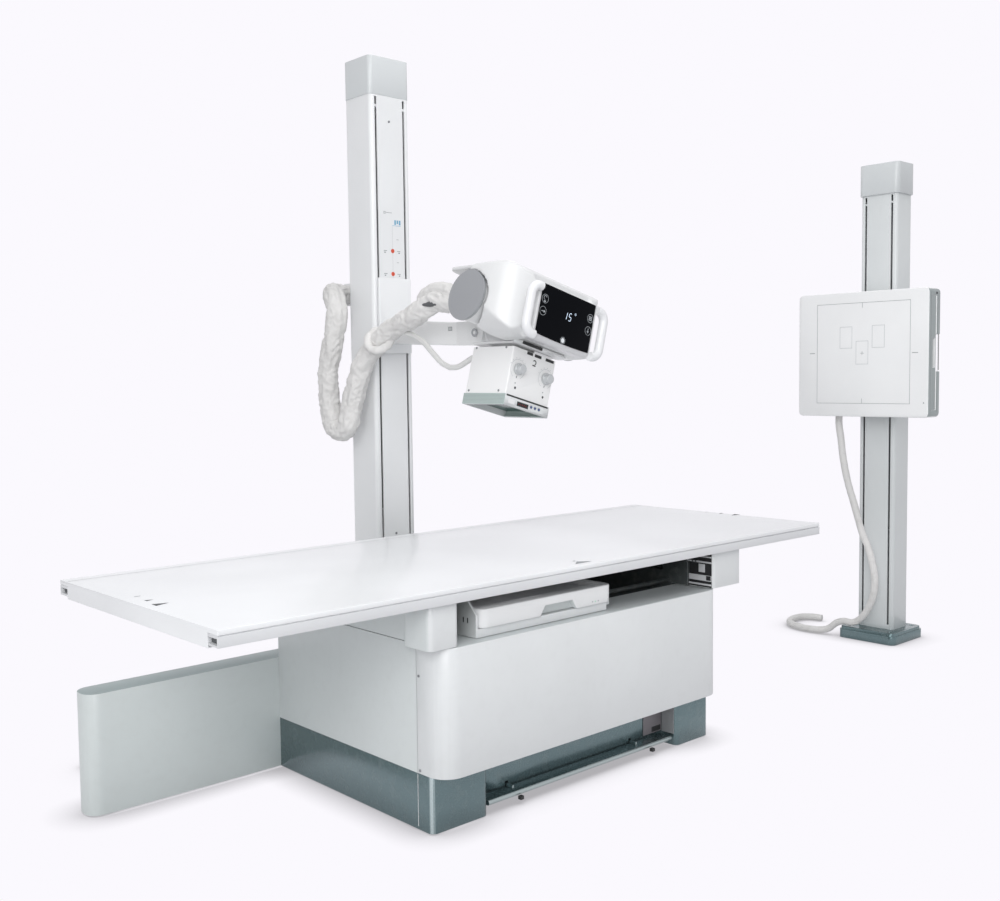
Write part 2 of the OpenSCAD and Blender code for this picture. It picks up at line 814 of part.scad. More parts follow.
// Column profile with its front at y = 0, and its two slots
module column_tube(depth, z0, z1, slot_z0) {
    difference() {
        pillar([-column_w/2, 0, z0], [column_w/2, depth, z1], column_r);
        block([-column_w/2 + column_t, column_t, z0 - eps],
            [column_w/2 - column_t, depth - column_t, z1 + eps]);
        for (s = [-1, 1])
            block([s*slot_x - slot_w/2, -eps, slot_z0], [s*slot_x + slot_w/2, column_t + eps, z1 - 6]);
    }
}

// Cap over a column's top, open below, that stands out over the column on each side
module column_lid(depth, top, over) {
    difference() {
        pillar([-column_w/2 - over, -over, top - cap_h], [column_w/2 + over, depth + over, top],
            column_r + over);
        pillar([-column_w/2 + cap_t, cap_t, top - cap_h - eps],
            [column_w/2 - cap_t, depth - cap_t, top - cap_t], column_r);
    }
}

// Head plate and two ears that hold the hoist pulley
module pulley_yoke(depth, top) {
    ear = 6;
    gap = pulley_w/2 + 2;
    cy = yoke_y(depth);
    pin_z = pulley_z(top);
    difference() {
        union() {
            block([-column_w/2 + column_t - eps, column_t - eps, top - cap_h - 40],
                [column_w/2 - column_t + eps, depth - column_t + eps, top - cap_h - 32]);
            for (s = [-1, 1])
                along_x(s > 0 ? gap : -gap - ear, s > 0 ? gap + ear : -gap) {
                    translate([cy - 14, top - cap_h - 33]) square([28, pin_z - top + cap_h + 33]);
                    translate([cy, pin_z]) circle(14);
                }
        }
        block([-gap, cy - pulley_r - 3*rope_r, top - cap_h - 41],
            [gap, cy + pulley_r + 3*rope_r, top - cap_h - 31]);
        bar_x(pulley_pin + fit, -gap - ear - eps, gap + ear + eps, cy, pin_z);
    }
}

pulley_w = 18;
pulley_pin = 6;
rope_off = pulley_r + rope_r + seat;     // rope's distance from the pulley's axis
function yoke_y(depth) = depth/2;
function pulley_z(top) = top - cap_h + 40;

module pulley(depth, top) {
    cy = yoke_y(depth);
    z = pulley_z(top);
    rim = pulley_r + 2*rope_r;
    translate([0, cy, z]) rotate([0, 90, 0]) difference() {
        union() {
            cylinder(r = rim, h = pulley_w, center = true);
            cylinder(r = pulley_pin, h = pulley_w + 2*(2 + 6 + 3), center = true);
        }
        rotate_extrude() translate([rope_off, 0]) {
            circle(rope_r + seat);
            translate([0, -rope_r - seat]) square([4*rope_r, 2*(rope_r + seat)]);
        }
    }
}

// Rope from the carriage's top, over the pulley, to the counterweight's top
module rope(depth, top, carriage_z, weight_z) {
    cy = yoke_y(depth);
    z = pulley_z(top);
    bar_z(rope_r, carriage_z, z, 0, cy - rope_off);
    bar_z(rope_r, weight_z, z, 0, cy + rope_off);
    translate([0, cy, z]) rotate([90, 0, 90])
        rotate_extrude(angle = 180) translate([rope_off, 0]) circle(rope_r);
}

// Inner block, webs and front cover of a carriage
module carriage_body(depth, z0, z1, front, thick, width, edge) {
    inner_h = 230;
    zc = mid(z0, z1);
    block([-column_w/2 + column_t + seat, column_t + seat, zc - inner_h/2],
        [column_w/2 - column_t - seat, depth/2 - 10, zc + inner_h/2]);
    for (s = [-1, 1])
        block([s*slot_x - slot_w/2 + 1.5, -front - eps, zc - inner_h/2],
            [s*slot_x + slot_w/2 - 1.5, column_t + 2, zc + inner_h/2]);
    pillar([-width/2, -front - thick, z0], [width/2, -front, z1], edge);
}

module weight_block(depth, z0, len) {
    block([-column_w/2 + column_t + 0.5, depth/2 + 4, z0],
        [column_w/2 - column_t - 0.5, depth - column_t - 0.5, z0 + len]);
}

module at_tube_column() { translate([column_x, column_y, 0]) children(); }
module at_wall_column() { translate([wall_x, wall_y, 0]) rotate([0, 0, -90]) children(); }

// ---------- tube column ----------

trolley_w = 300;
trolley_top = track_t + wheel_r*2 + 30;
axle_z = track_t + seat + wheel_r;
cheek_f = column_y - 12;
cheek_b = column_y + column_d + 6;
cheek_t = 10;
wheel_x = 110;

module column_trolley() {
    x0 = column_x - trolley_w/2;
    x1 = column_x + trolley_w/2;
    head_d = 42;
    color(SLATE)
    difference() {
        union() {
            block([x0, housing_b + rail_out + 6, trolley_top - 20], [x1, cheek_b + cheek_t, trolley_top]);
            for (y = [cheek_f, cheek_b])
                block([x0, y, track_t + 6], [x1, y + cheek_t, trolley_top - 20 + eps]);
            block([x0, housing_b + 2, guide_z - 22], [x1, housing_b + 2 + head_d, trolley_top]);
        }
        block([x0 - eps, housing_b, guide_z - rail_z/2 - 0.4],
            [x1 + eps, housing_b + rail_out + 0.4, guide_z + rail_z/2 + 0.4]);
        for (s = [-1, 1])
            bar_y(axle_r + fit, cheek_f - eps, cheek_b + cheek_t + eps, column_x + s*wheel_x, axle_z);
    }
}

module wheelset(x) {
    tyre_w = 20;
    color(STEEL) {
        bar_y(axle_r, cheek_f - 4, cheek_b + cheek_t + 4, x, axle_z);
        for (y = [cheek_f + cheek_t + 6, cheek_b - 6 - tyre_w]) bar_y(wheel_r, y, y + tyre_w, x, axle_z);
    }
}
module wheelset_left() { wheelset(column_x - wheel_x); }
module wheelset_right() { wheelset(column_x + wheel_x); }

gland_z = 1474;                          // height of the cables' gland behind the column
gland_w = 80;
gland_d = 104;

module column() {
    color(WHITE) at_tube_column() {
        column_tube(column_d, trolley_top, column_h - cap_h, 180);
        pulley_yoke(column_d, column_h);
        pillar([60 - column_x, column_d - eps, gland_z - gland_w/2],
            [60 - column_x + gland_w, column_d + gland_d, gland_z + gland_w/2], 2);
    }
}
module column_cap() { color(WHITE) at_tube_column() column_lid(column_d, column_h, 2); }

carriage_z0 = arm_z - 54;                // underside of the carriage's front cover
carriage_z1 = carriage_z0 + carriage_h;
carriage_gap = 3;
carriage_t = 13;
block_top = mid(carriage_z0, carriage_z1) + 115;
weight_z0 = 700;
weight_l = 640;

module counterweight() { color(SLATE) at_tube_column() weight_block(column_d, weight_z0, weight_l); }
module top_pulley() { color(STEEL) at_tube_column() pulley(column_d, column_h); }
module hoist_rope() {
    color(STEEL) at_tube_column() rope(column_d, column_h, block_top, weight_z0 + weight_l);
}

module slide_carriage() {
    color(WHITE) at_tube_column()
        carriage_body(column_d, carriage_z0, carriage_z1, carriage_gap, carriage_t, carriage_w, 4);
}

// ---------- arm and head ----------

arm_back = column_y - carriage_gap - carriage_t;
seam_back = 95;                          // distance of the arm's seam behind the knuckle's middle
arm_seam = knuckle_y + seam_back;

module arm() {
    drop = 22;                           // how far it reaches below and above its axis at the carriage
    rise = 62;
    color(WHITE)
    along_x(column_x - arm_w/2, column_x + arm_w/2)
        polygon([[arm_seam, arm_z - knuckle_r], [arm_back, arm_z - drop], [arm_back, arm_z + rise],
            [arm_seam, arm_z + knuckle_r]]);
}

boss_r = 33;
boss_y = knuckle_y - 43;                 // front face of the knuckle's boss
pin_r = 15;
pin_l = 45;

module arm_knuckle() {
    cap_r = 12;
    cap_out = 5;
    color(WHITE) {
        bar_x(knuckle_r, column_x - arm_w/2 - 2, column_x + arm_w/2 + 2, knuckle_y, arm_z);
        block([column_x - arm_w/2, knuckle_y, arm_z - knuckle_r], [column_x + arm_w/2, arm_seam, arm_z + knuckle_r]);
        bar_y(boss_r, boss_y, knuckle_y, column_x, arm_z);
        bar_y(pin_r, boss_y - pin_l, knuckle_y, column_x, arm_z);
        bar_x(cap_r, column_x - arm_w/2 - 2 - cap_out, column_x, knuckle_y, arm_z);
    }
}

// Places the head's own frame: u along the tube, v along the arm, w up from the arm's axis
module at_head() { translate([column_x, 0, arm_z]) rotate([0, head_roll, 0]) children(); }

flange_w = -60;                          // underside of the head, where its port begins
flange_t = 6;
flange_v = 95;                           // half the flange, towards the arm
port_r = 30;
socket_u = 168;                          // place of the high-voltage sockets along the tube
socket_r = 24;
socket_lift = 8;                         // how far the sockets lie above the tube's axis
colli_top = flange_w - flange_t - seat;  // top of the collimator's ring
ring_t = 9;
house_top = colli_top - ring_t;
house_bot = house_top - colli_h;

module tube_housing() {
    end_t = 8;
    body_r = tube_r - 5;
    socket_v = 111.98;                   // just short of the sleeve's end
    flange_f = 128;
    color(GREY) at_head() difference() {
        union() {
            bar_x(body_r, -tube_l/2 + end_t, tube_l/2 - end_t, 0, tube_w);
            for (s = [-1, 1])
                bar_x(tube_r, s > 0 ? tube_l/2 - end_t - eps : -tube_l/2,
                    s > 0 ? tube_l/2 : -tube_l/2 + end_t + eps, 0, tube_w);
            // trunnion towards the arm, and the high-voltage sockets
            bar_y(boss_r, 40, boss_y - seat, 0, 0);
            for (s = [-1, 1]) bar_y(socket_r, 40, socket_v, s*socket_u, tube_w + socket_lift);
            // beam port with its flange
            bar_z(48, flange_w - eps, 0, 0, 0);
            block([-flange_v, -flange_f, flange_w - flange_t], [flange_v, flange_v, flange_w]);
            bar_z(port_r, house_top - 12, flange_w, 0, 0);
        }
        bar_y(pin_r + fit, boss_y - pin_l - 1, boss_y, 0, 0);
    }
}

cover_u = tube_l/2 - 1;                  // the cover's side, just short of the tube's end
cover_front = 180;                       // the cover's front ahead of the tube's axis
cover_rear = 10;                         // the cover's rear wall behind the tube's axis
visor_back = 150;                        // rear edge of the visor
console_back = console_v - 40;

// Plan of the head cover
module cover_plan() {
    bow_r = 160;
    u = cover_u - bow_r;
    v = bow_r - cover_front;
    for (s = [-1, 1]) translate([s*u, v]) circle(bow_r);
    translate([-u, -cover_front]) square([2*u, cover_front + cover_rear]);
    translate([-cover_u, v]) square([2*cover_u, cover_rear - v]);
}

// Side outline of the head cover
module cover_side() {
    bow_r = 75;
    round_rect([-cover_front, flange_w], [cover_rear, cover_top], bow_r);
    translate([-cover_front/2, tube_w]) square([cover_front/2 + cover_rear, cover_top - tube_w]);
}

// Front outline of the head cover
module cover_face() {
    low_r = 120;
    top_r = 42;
    for (s = [-1, 1]) {
        translate([s*(cover_u - low_r), flange_w + low_r]) circle(low_r);
        translate([s*(cover_u - top_r), cover_top - top_r]) circle(top_r);
    }
    translate([low_r - cover_u, flange_w]) square([2*(cover_u - low_r), cover_top - flange_w]);
    translate([-cover_u, flange_w + low_r]) square([2*cover_u, cover_top - top_r - flange_w - low_r]);
    translate([top_r - cover_u, tube_w]) square([2*(cover_u - top_r), cover_top - tube_w]);
}

module head_cover() {
    wall = 6;
    visor_t = 14;
    port = 96;                           // half the opening over the beam port's flange
    hollow_u = cover_u - 50;
    hollow_v = cover_front - 55;
    behind = cover_rear + tube_r;        // past the rear wall
    color(WHITE) at_head() difference() {
        union() {
            intersection() {
                translate([0, 0, -150]) linear_extrude(400) cover_plan();
                along_x(-cover_u - eps, cover_u + eps) cover_side();
                along_y(-cover_front - eps, cover_rear + eps) cover_face();
            }
            pillar([-visor_u, -visor_t, cover_top - visor_t], [visor_u, visor_back, cover_top], 24);
        }
        // room for the tube housing
        block([-hollow_u, -hollow_v, flange_w + 32], [hollow_u, -8, cover_top - wall - 2]);
        bar_x(tube_r + 1, -tube_l, tube_l, 0, tube_w);
        bar_z(49, flange_w - 2*wall, 0, 0, 0);
        bar_y(boss_r + 2, 0, behind, 0, 0);
        for (s = [-1, 1]) bar_y(socket_r + 2, 0, behind, s*socket_u, tube_w + socket_lift);
        block([-port, -port - 4, flange_w - eps], [port, port, flange_w + wall - 2]);
        // seat of the console
        block([-console_u, -cover_front - 1, flange_w - 1], [console_u, -console_back, cover_top + 1]);
    }
}

console_u = glass_w/2 + 7;

module console() {
    front = -console_v;
    back = -console_back;
    bevel = 12;                          // along its lower front edge
    rise = 112;                          // height of its top above the arm's axis
    color(WHITE) at_head()
    along_x(-console_u, console_u)
        polygon([[front, flange_w + bevel], [front + bevel, flange_w], [back, flange_w], [back, rise],
            [front, rise - 3]]);
}

glass_w0 = 29;                           // middle of the glass above the arm's axis

module display_glass() {
    thick = 3;
    arc_r = 1800;
    color(DARK) at_head()
    translate([0, -console_v, glass_w0]) rotate([90, 0, 0]) linear_extrude(thick)
        intersection() {
            translate([-glass_w/2, -glass_h/2]) square([glass_w, glass_h]);
            translate([0, arc_r - glass_h/2]) circle(arc_r, $fn = 200);
        }
}

module handles() {
    bend = 30;
    low = flange_w + 8;                  // lower and upper end of a handle
    high = cover_top - 64;
    v = -(console_v + 4);
    color(WHITE) at_head()
    for (s = [-1, 1]) mirror([s > 0 ? 0 : 1, 0, 0]) {
        bar_z(handle_r, low + bend, high - bend, handle_u, v);
        for (e = [0, 1])
            translate([handle_u - bend, v, e > 0 ? high - bend : low + bend]) mirror([0, 0, e > 0 ? 0 : 1])
                rotate([90, 0, 0]) rotate_extrude(angle = 90) translate([bend, 0]) circle(handle_r);
        for (w = [low, high]) bar_x(handle_r, console_u, handle_u - bend + 0.01, v, w);
    }
}

// ---------- collimator ----------

module collimator_housing() {
    wall = 3;
    half = colli_w/2;
    window = 70;
    color(WHITE) at_head() difference() {
        union() {
            pillar([-half, -half, house_bot], [half, half, house_top], 5);
            bar_z(62, house_top - eps, colli_top, 0, 0);
        }
        block([-half + wall, -half + wall, house_bot + wall], [half - wall, half - wall, house_top - wall]);
        block([-window, -window, house_bot - eps], [window, window, house_bot + wall + eps]);
        bar_z(port_r + fit, house_top - wall - eps, colli_top + eps, 0, 0);
        for (s = [-1, 1])
            bar_y(4 + fit, -half - eps, -half + wall + eps, s*knob_u, knob_w);
    }
}

knob_w = house_top - 64;                 // height of the knobs

module collimator_frame() {
    half = colli_w/2 + 2;
    wall = 4;
    glass_z = house_bot - 12;
    lip = 12;
    color(STEEL) at_head() difference() {
        union() {
            difference() {
                block([-half, -half - 2, house_bot - frame_h], [half, half, house_bot]);
                block([-half + wall, -half - 2 + wall, house_bot - frame_h - eps],
                    [half - wall, half - wall, house_bot + eps]);
            }
            block([-half + 1, -half - 1, glass_z - 3], [half - 1, half - 1, glass_z]);
            for (s = [-1, 1])
                block([s > 0 ? half - lip : -half, -half, house_bot - frame_h],
                    [s > 0 ? half : -half + lip, half, house_bot - frame_h + 3]);
        }
        for (k = [1, 2, 3]) bar_y(key_r + 0.15, -half - 3, -half + wall - 1, key_u(k), key_w);
    }
}

key_w = house_bot - frame_h/2;
function key_u(k) = 1 + k*key_pitch;

// Turned knob with its spindle through the housing's wall
module knob(u) {
    skirt_l = 8;
    grip_l = 16;
    half = colli_w/2;
    color(GREY) at_head() {
        bar_y(knob_r, -half - 1 - skirt_l, -half - 1, u, knob_w);
        bar_y(knob_r - 4, -half - 1 - skirt_l - grip_l, -half - 1, u, knob_w);
        bar_y(4, -half - 2, -half + 20, u, knob_w);
        bar_y(8, -half + 3.3, -half + 20, u, knob_w);
    }
}
module knob_left() { knob(-knob_u); }
module knob_right() { knob(knob_u); }

module key(k) {
    half = colli_w/2 + 2;
    color(SLATE) at_head() bar_y(key_r, -half - 3.5, -half + 1.5, key_u(k), key_w);
}
module key_1() { key(1); }
module key_2() { key(2); }
module key_3() { key(3); }

// ---------- wall stand ----------

module wall_base() {
    bolt = 95;
    set_back = 83;                       // the plate's front stands this far before the column
    x0 = wall_x - set_back;
    color(SLATE)
    difference() {
        union() {
            pillar([x0, wall_y - foot_w/2, 0], [x0 + foot_w, wall_y + foot_w/2, foot_t - 12], 26);
            pillar([x0 + 6, wall_y - foot_w/2 + 6, 0], [x0 + foot_w - 6, wall_y + foot_w/2 - 6, foot_t], 22);
        }
        for (x = [-1, 1]*bolt, y = [-1, 1]*bolt)
            bar_z(anchor_r, -eps, foot_t + eps, x0 + foot_w/2 + x, wall_y + y);
    }
}

module wall_column() {
    color(WHITE) at_wall_column() {
        column_tube(wall_d, foot_t, wall_h - cap_h, foot_t + 20);
        pulley_yoke(wall_d, wall_h);
    }
}
module wall_cap() { color(WHITE) at_wall_column() column_lid(wall_d, wall_h, 8); }

module wall_carriage() {
    h = 260;
    color(GREY) at_wall_column()
        carriage_body(wall_d, bucky_z - h/2, bucky_z + h/2, carriage_gap, bucky_gap - carriage_gap, 160, 4);
}

bucky_x = wall_x - bucky_gap - bucky_d;  // front of the wall bucky
pocket_x = bucky_x + 26;                 // front of the tray's pocket
pocket_h = bucky_h - 64;
pocket_l = bucky_w - 36;

module wall_bucky() {
    y0 = wall_y - bucky_w/2;
    z0 = bucky_z - bucky_h/2;
    notch_h = 150;
    notch_d = 28;
    color(WHITE)
    difference() {
        translate([bucky_x, 0, 0]) rotate([90, 0, 90]) linear_extrude(bucky_d)
            round_rect([y0, z0], [y0 + bucky_w, z0 + bucky_h], bucky_r);
        block([pocket_x, y0 - eps, bucky_z - pocket_h/2],
            [pocket_x + wall_tray_t + 2*seat, y0 + pocket_l, bucky_z + pocket_h/2]);
        block([pocket_x + wall_tray_t, y0 - eps, bucky_z - notch_h/2],
            [bucky_x + bucky_d + eps, y0 + notch_d, bucky_z + notch_h/2]);
    }
}

module wall_tray() {
    y0 = wall_y - bucky_w/2;
    grip_h = 120;
    color(GREY)
    difference() {
        block([pocket_x + seat, y0 + 3, bucky_z - pocket_h/2 + seat],
            [pocket_x + seat + wall_tray_t, y0 + pocket_l - 8, bucky_z + pocket_h/2 - seat]);
        block([pocket_x + 12, y0 + 2, bucky_z - grip_h/2],
            [pocket_x + wall_tray_t - 6, y0 + 20, bucky_z + grip_h/2]);
    }
}

wall_block_top = bucky_z + 115;
wall_weight_z0 = 480;
wall_weight_l = 680;
module wall_counterweight() {
    color(SLATE) at_wall_column() weight_block(wall_d, wall_weight_z0, wall_weight_l);
}
module wall_pulley() { color(STEEL) at_wall_column() pulley(wall_d, wall_h); }
module wall_rope() {
    color(STEEL) at_wall_column() rope(wall_d, wall_h, wall_block_top, wall_weight_z0 + wall_weight_l);
}

// ---------- cables ----------

function unit(v) = v/norm(v);
function cut(a, b) = cross(a, b)/max(norm(cross(a, b)), 1e-9);

// Direction of a route at its point i
function heading(p, i) = unit(p[min(i + 1, len(p) - 1)] - p[max(i - 1, 0)]);

// Frames carried along a route without twist
function frames(p, i = 0, side = undef) =
    let (t = heading(p, i),
        s0 = is_undef(side) ? (abs(t[2]) > 0.9 ? [1, 0, 0] : [0, 0, 1]) : side,
        s = unit(s0 - t*(s0*t)))
    i == len(p) - 1 ? [[s, cross(t, s)]] : concat([[s, cross(t, s)]], frames(p, i + 1, s));

// Closed tube of a radius along a route's points
module sweep(p, r, sides = 8) {
    f = frames(p);
    n = len(p);
    points = [for (i = [0:n - 1], k = [0:sides - 1])
        p[i] + r*(cos(360*k/sides)*f[i][0] + sin(360*k/sides)*f[i][1])];
    walls = [for (i = [0:n - 2], k = [0:sides - 1]) let (j = (k + 1)%sides)
        [i*sides + k, i*sides + j, (i + 1)*sides + j, (i + 1)*sides + k]];
    polyhedron(points, concat(walls, [[for (k = [sides - 1:-1:0]) k], [for (k = [0:sides - 1]) (n - 1)*sides + k]]),
        convexity = 10);
}

module tube_cable() { color(WHITE) sweep(tube_route, sleeve_r, 10); }
module collimator_cable() { color(GREY) sweep(thin_route, thin_cable_r); }
module wall_cable() { color(WHITE) sweep(wall_route, wall_cable_r); }

// ---------- main draw ----------

base_frame();
skirt();
front_panel();
left_panel();
right_panel();
rear_panel();
deck();
control_box();
actuator_bodies();
rail_housing();
travel_rails();
wall_base();
wall_column();
wall_cap();
lift_frame();
lift_shroud();
left_cover();
right_cover();
actuator_rods();
bucky_rails();
float_carriage();
tabletop();
front_rail();
rear_rail();
bucky_carriage();
tray();
detector();
foot_tread();
column_trolley();
column();
column_cap();
wheelset_left();
wheelset_right();
counterweight();
top_pulley();
hoist_rope();
slide_carriage();
arm();
arm_knuckle();
tube_housing();
head_cover();
console();
display_glass();
handles();
collimator_housing();
collimator_frame();
knob_left();
knob_right();
key_1();
key_2();
key_3();
wall_carriage();
wall_bucky();
wall_tray();
wall_counterweight();
wall_pulley();
wall_rope();
tube_cable();
collimator_cable();
wall_cable();
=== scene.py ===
"""Looks of a floor-mounted x-ray machine: table, tube column, tube head and wall stand."""

import json
import logging
import math
from collections.abc import Callable, Iterable, Sequence
from dataclasses import dataclass, field
from enum import Enum

import bmesh
import bpy
from mathutils import Matrix, Vector, noise

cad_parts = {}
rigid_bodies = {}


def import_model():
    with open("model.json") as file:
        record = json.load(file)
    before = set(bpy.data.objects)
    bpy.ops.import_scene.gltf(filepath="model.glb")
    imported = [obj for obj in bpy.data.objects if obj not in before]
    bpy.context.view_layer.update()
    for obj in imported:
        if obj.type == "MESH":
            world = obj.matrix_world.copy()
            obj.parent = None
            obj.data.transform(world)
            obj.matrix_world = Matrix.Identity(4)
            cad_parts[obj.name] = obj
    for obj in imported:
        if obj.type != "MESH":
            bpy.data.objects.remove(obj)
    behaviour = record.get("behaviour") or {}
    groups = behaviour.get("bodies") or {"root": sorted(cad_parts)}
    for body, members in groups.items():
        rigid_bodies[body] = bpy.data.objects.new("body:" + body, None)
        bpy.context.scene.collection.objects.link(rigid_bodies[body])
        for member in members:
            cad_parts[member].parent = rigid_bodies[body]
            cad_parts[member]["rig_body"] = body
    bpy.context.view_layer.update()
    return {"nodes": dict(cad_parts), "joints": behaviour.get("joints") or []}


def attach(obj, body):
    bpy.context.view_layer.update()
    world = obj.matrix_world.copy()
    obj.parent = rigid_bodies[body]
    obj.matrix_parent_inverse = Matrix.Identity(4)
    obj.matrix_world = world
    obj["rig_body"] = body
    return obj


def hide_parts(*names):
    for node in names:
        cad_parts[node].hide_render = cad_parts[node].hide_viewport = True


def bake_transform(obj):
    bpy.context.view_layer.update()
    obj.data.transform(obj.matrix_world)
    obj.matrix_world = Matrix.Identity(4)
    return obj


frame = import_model()
LOG = logging.getLogger("xray_machine")
MM = 0.001


# ---------------------------------------------------------------- finishes


class Brush(Enum):
    """The way in which a metal was brushed."""

    NONE = (1.0, 1.0, 1.0)
    ALONG_X = (0.02, 1.0, 1.0)
    ALONG_Y = (1.0, 0.02, 1.0)
    ALONG_Z = (1.0, 1.0, 0.02)


@dataclass(frozen=True)
class Finish:
    """One surface finish, as a maker would order it."""

    name: str
    colour: tuple[float, float, float]
    roughness: float = 0.4
    metallic: float = 0.0
    coat: float = 0.0
    grain: float = 0.03
    grain_size: float = 0.0016
    drift: float = 0.03
    soil: float = 0.0
    brush: Brush = Brush.NONE
    glow: float = 0.0
    specular: float = 0.5


WHITE_PAINT = Finish("white_paint_finish", (0.735, 0.752, 0.76), 0.34, coat=0.25, soil=0.04)
# A darker, greener copy of the white paint: painted shade on the base's side panels, the covers' side faces
# and the tray's grip recess; also the paint of the control box and the actuator bodies.
SIDE_PAINT = Finish("side_paint_finish", (0.68, 0.715, 0.715), 0.42, coat=0.1, soil=0.05)
SLATE_PAINT = Finish("slate_metallic_finish", (0.135, 0.195, 0.205), 0.26, metallic=0.72, coat=0.15,
                     grain=0.06, grain_size=0.0009, soil=0.08)
DARK_PAINT = Finish("dark_paint_finish", (0.055, 0.065, 0.065), 0.6, soil=0.15)
BRUSHED_STEEL = Finish("brushed_steel_finish", (0.56, 0.58, 0.58), 0.3, metallic=1.0,
                       brush=Brush.ALONG_X)
COLUMN_PAINT = Finish("column_finish", (0.81, 0.82, 0.83), 0.36, coat=0.15, grain=0.02)
WEIGHT_IRON = Finish("weight_finish", (0.16, 0.17, 0.18), 0.7, grain=0.15, soil=0.2)
WHITE_COVER = Finish("moulded_cover_finish", (0.86, 0.865, 0.87), 0.28, coat=0.35, grain=0.015,
                     grain_size=0.001)
LAMINATE = Finish("laminate_finish", (0.86, 0.87, 0.885), 0.3, coat=0.2, grain=0.015)
RAIL_FINISH = Finish("rail_finish", (0.72, 0.73, 0.745), 0.35, metallic=0.15, brush=Brush.ALONG_X)
DISC_FINISH = Finish("end_disc_finish", (0.36, 0.375, 0.385), 0.32, metallic=0.85, grain=0.03)
BLACK_GLASS = Finish("display_glass_finish", (0.004, 0.0045, 0.006), 0.1, grain=0.0, drift=0.0,
                     specular=0.02)
BLACK_PLASTIC = Finish("black_plastic_finish", (0.02, 0.021, 0.022), 0.55)
KNOB_FINISH = Finish("knob_finish", (0.52, 0.54, 0.55), 0.3, metallic=0.35, coat=0.3)
KEY_FINISH = Finish("key_finish", (0.07, 0.10, 0.22), 0.4)
SLEEVE_FINISH = Finish("sleeve_finish", (0.74, 0.73, 0.72), 0.62, grain=0.25, grain_size=0.003,
                       drift=0.10, soil=0.25)
CABLE_FINISH = Finish("cable_finish", (0.70, 0.70, 0.69), 0.5, grain=0.1, drift=0.06)
ZINC = Finish("zinc_finish", (0.55, 0.56, 0.57), 0.35, metallic=0.9)
BLUE_PRINT = Finish("blue_print_finish", (0.18, 0.42, 0.60), 0.5)
RED_PRINT = Finish("red_print_finish", (0.72, 0.10, 0.05), 0.5)
GREY_PRINT = Finish("grey_print_finish", (0.28, 0.30, 0.31), 0.5)
DARK_PRINT = Finish("dark_print_finish", (0.05, 0.055, 0.06), 0.5)
LABEL_FINISH = Finish("scale_strip_finish", (0.82, 0.82, 0.83), 0.45)
ICON_GLOW = Finish("icon_finish", (0.30, 0.32, 0.34), 0.4, glow=0.35)
DIGIT_GLOW = Finish("digit_finish", (0.55, 0.66, 0.80), 0.4, glow=0.9)
RED_GLOW = Finish("red_led_finish", (0.45, 0.04, 0.03), 0.4, glow=0.35)
LINE_PRINT = Finish("line_print_finish", (0.55, 0.56, 0.57), 0.5, grain=0.0)
FAINT_PRINT = Finish("faint_print_finish", (0.50, 0.52, 0.53), 0.5, grain=0.0)
FIELD_PRINT = Finish("field_print_finish", (0.30, 0.32, 0.33), 0.5, grain=0.0)
ICON_WHITE = Finish("icon_white_finish", (0.50, 0.52, 0.54), 0.4, glow=0.5)
GREEN_LAMP = Finish("green_lamp_finish", (0.15, 0.5, 0.3), 0.4, glow=0.3)
DECK_PAINT = Finish("deck_finish", (0.60, 0.635, 0.64), 0.45, soil=0.06)
BRACKET_PAINT = Finish("bracket_finish", (0.62, 0.64, 0.645), 0.45, metallic=0.15, soil=0.05)
COLUMN_CAP_PAINT = Finish("cap_finish", (0.63, 0.655, 0.665), 0.34, coat=0.2)
WALL_COLUMN_PAINT = Finish("wall_column_finish", (0.70, 0.725, 0.73), 0.36, coat=0.15, grain=0.02)
HOUSING_PAINT = Finish("rail_housing_finish", (0.665, 0.71, 0.705), 0.4, coat=0.1, soil=0.05)
# A darker copy of the rail housing's paint for its top faces: painted shade.
HOUSING_TOP_SHADE = Finish("rail_housing_top_finish", (0.36, 0.43, 0.43), 0.4, coat=0.1, soil=0.1)
HEAD_COVER = Finish("head_cover_finish", (0.71, 0.715, 0.72), 0.3, coat=0.25, grain=0.012)
CONSOLE_COVER = Finish("console_finish", (0.63, 0.63, 0.645), 0.32, coat=0.25, grain=0.012)
CHANNEL_DARK = Finish("channel_finish", (0.09, 0.095, 0.10), 0.6)
# A darker copy for the faces of the wall bucky and its tray that face -Y, away from the light: painted shade.
BUCKY_SIDE_SHADE = Finish("bucky_side_finish", (0.37, 0.41, 0.41), 0.42, metallic=0.2)
TRAY_LID = Finish("tray_lid_finish", (0.74, 0.75, 0.76), 0.35, coat=0.15)
HANDLE_FINISH = Finish("handle_finish", (0.80, 0.805, 0.82), 0.3, coat=0.3, grain=0.01)
COLLIMATOR_PAINT = Finish("collimator_finish", (0.87, 0.87, 0.87), 0.4, coat=0.1, grain=0.02)
FRAME_GREEN = Finish("frame_green_finish", (0.46, 0.54, 0.52), 0.4, metallic=0.2)
FRAME_RIB = Finish("frame_rib_finish", (0.28, 0.34, 0.33), 0.45, metallic=0.3)
DARK_ZINC = Finish("dark_zinc_finish", (0.26, 0.27, 0.28), 0.4, metallic=0.7)
GREEN_GLASS = Finish("collimator_window_finish", (0.035, 0.075, 0.065), 0.15, grain=0.0, specular=0.3)
BRACKET_LIGHT = Finish("end_plate_finish", (0.60, 0.62, 0.62), 0.4, metallic=0.15, soil=0.05)
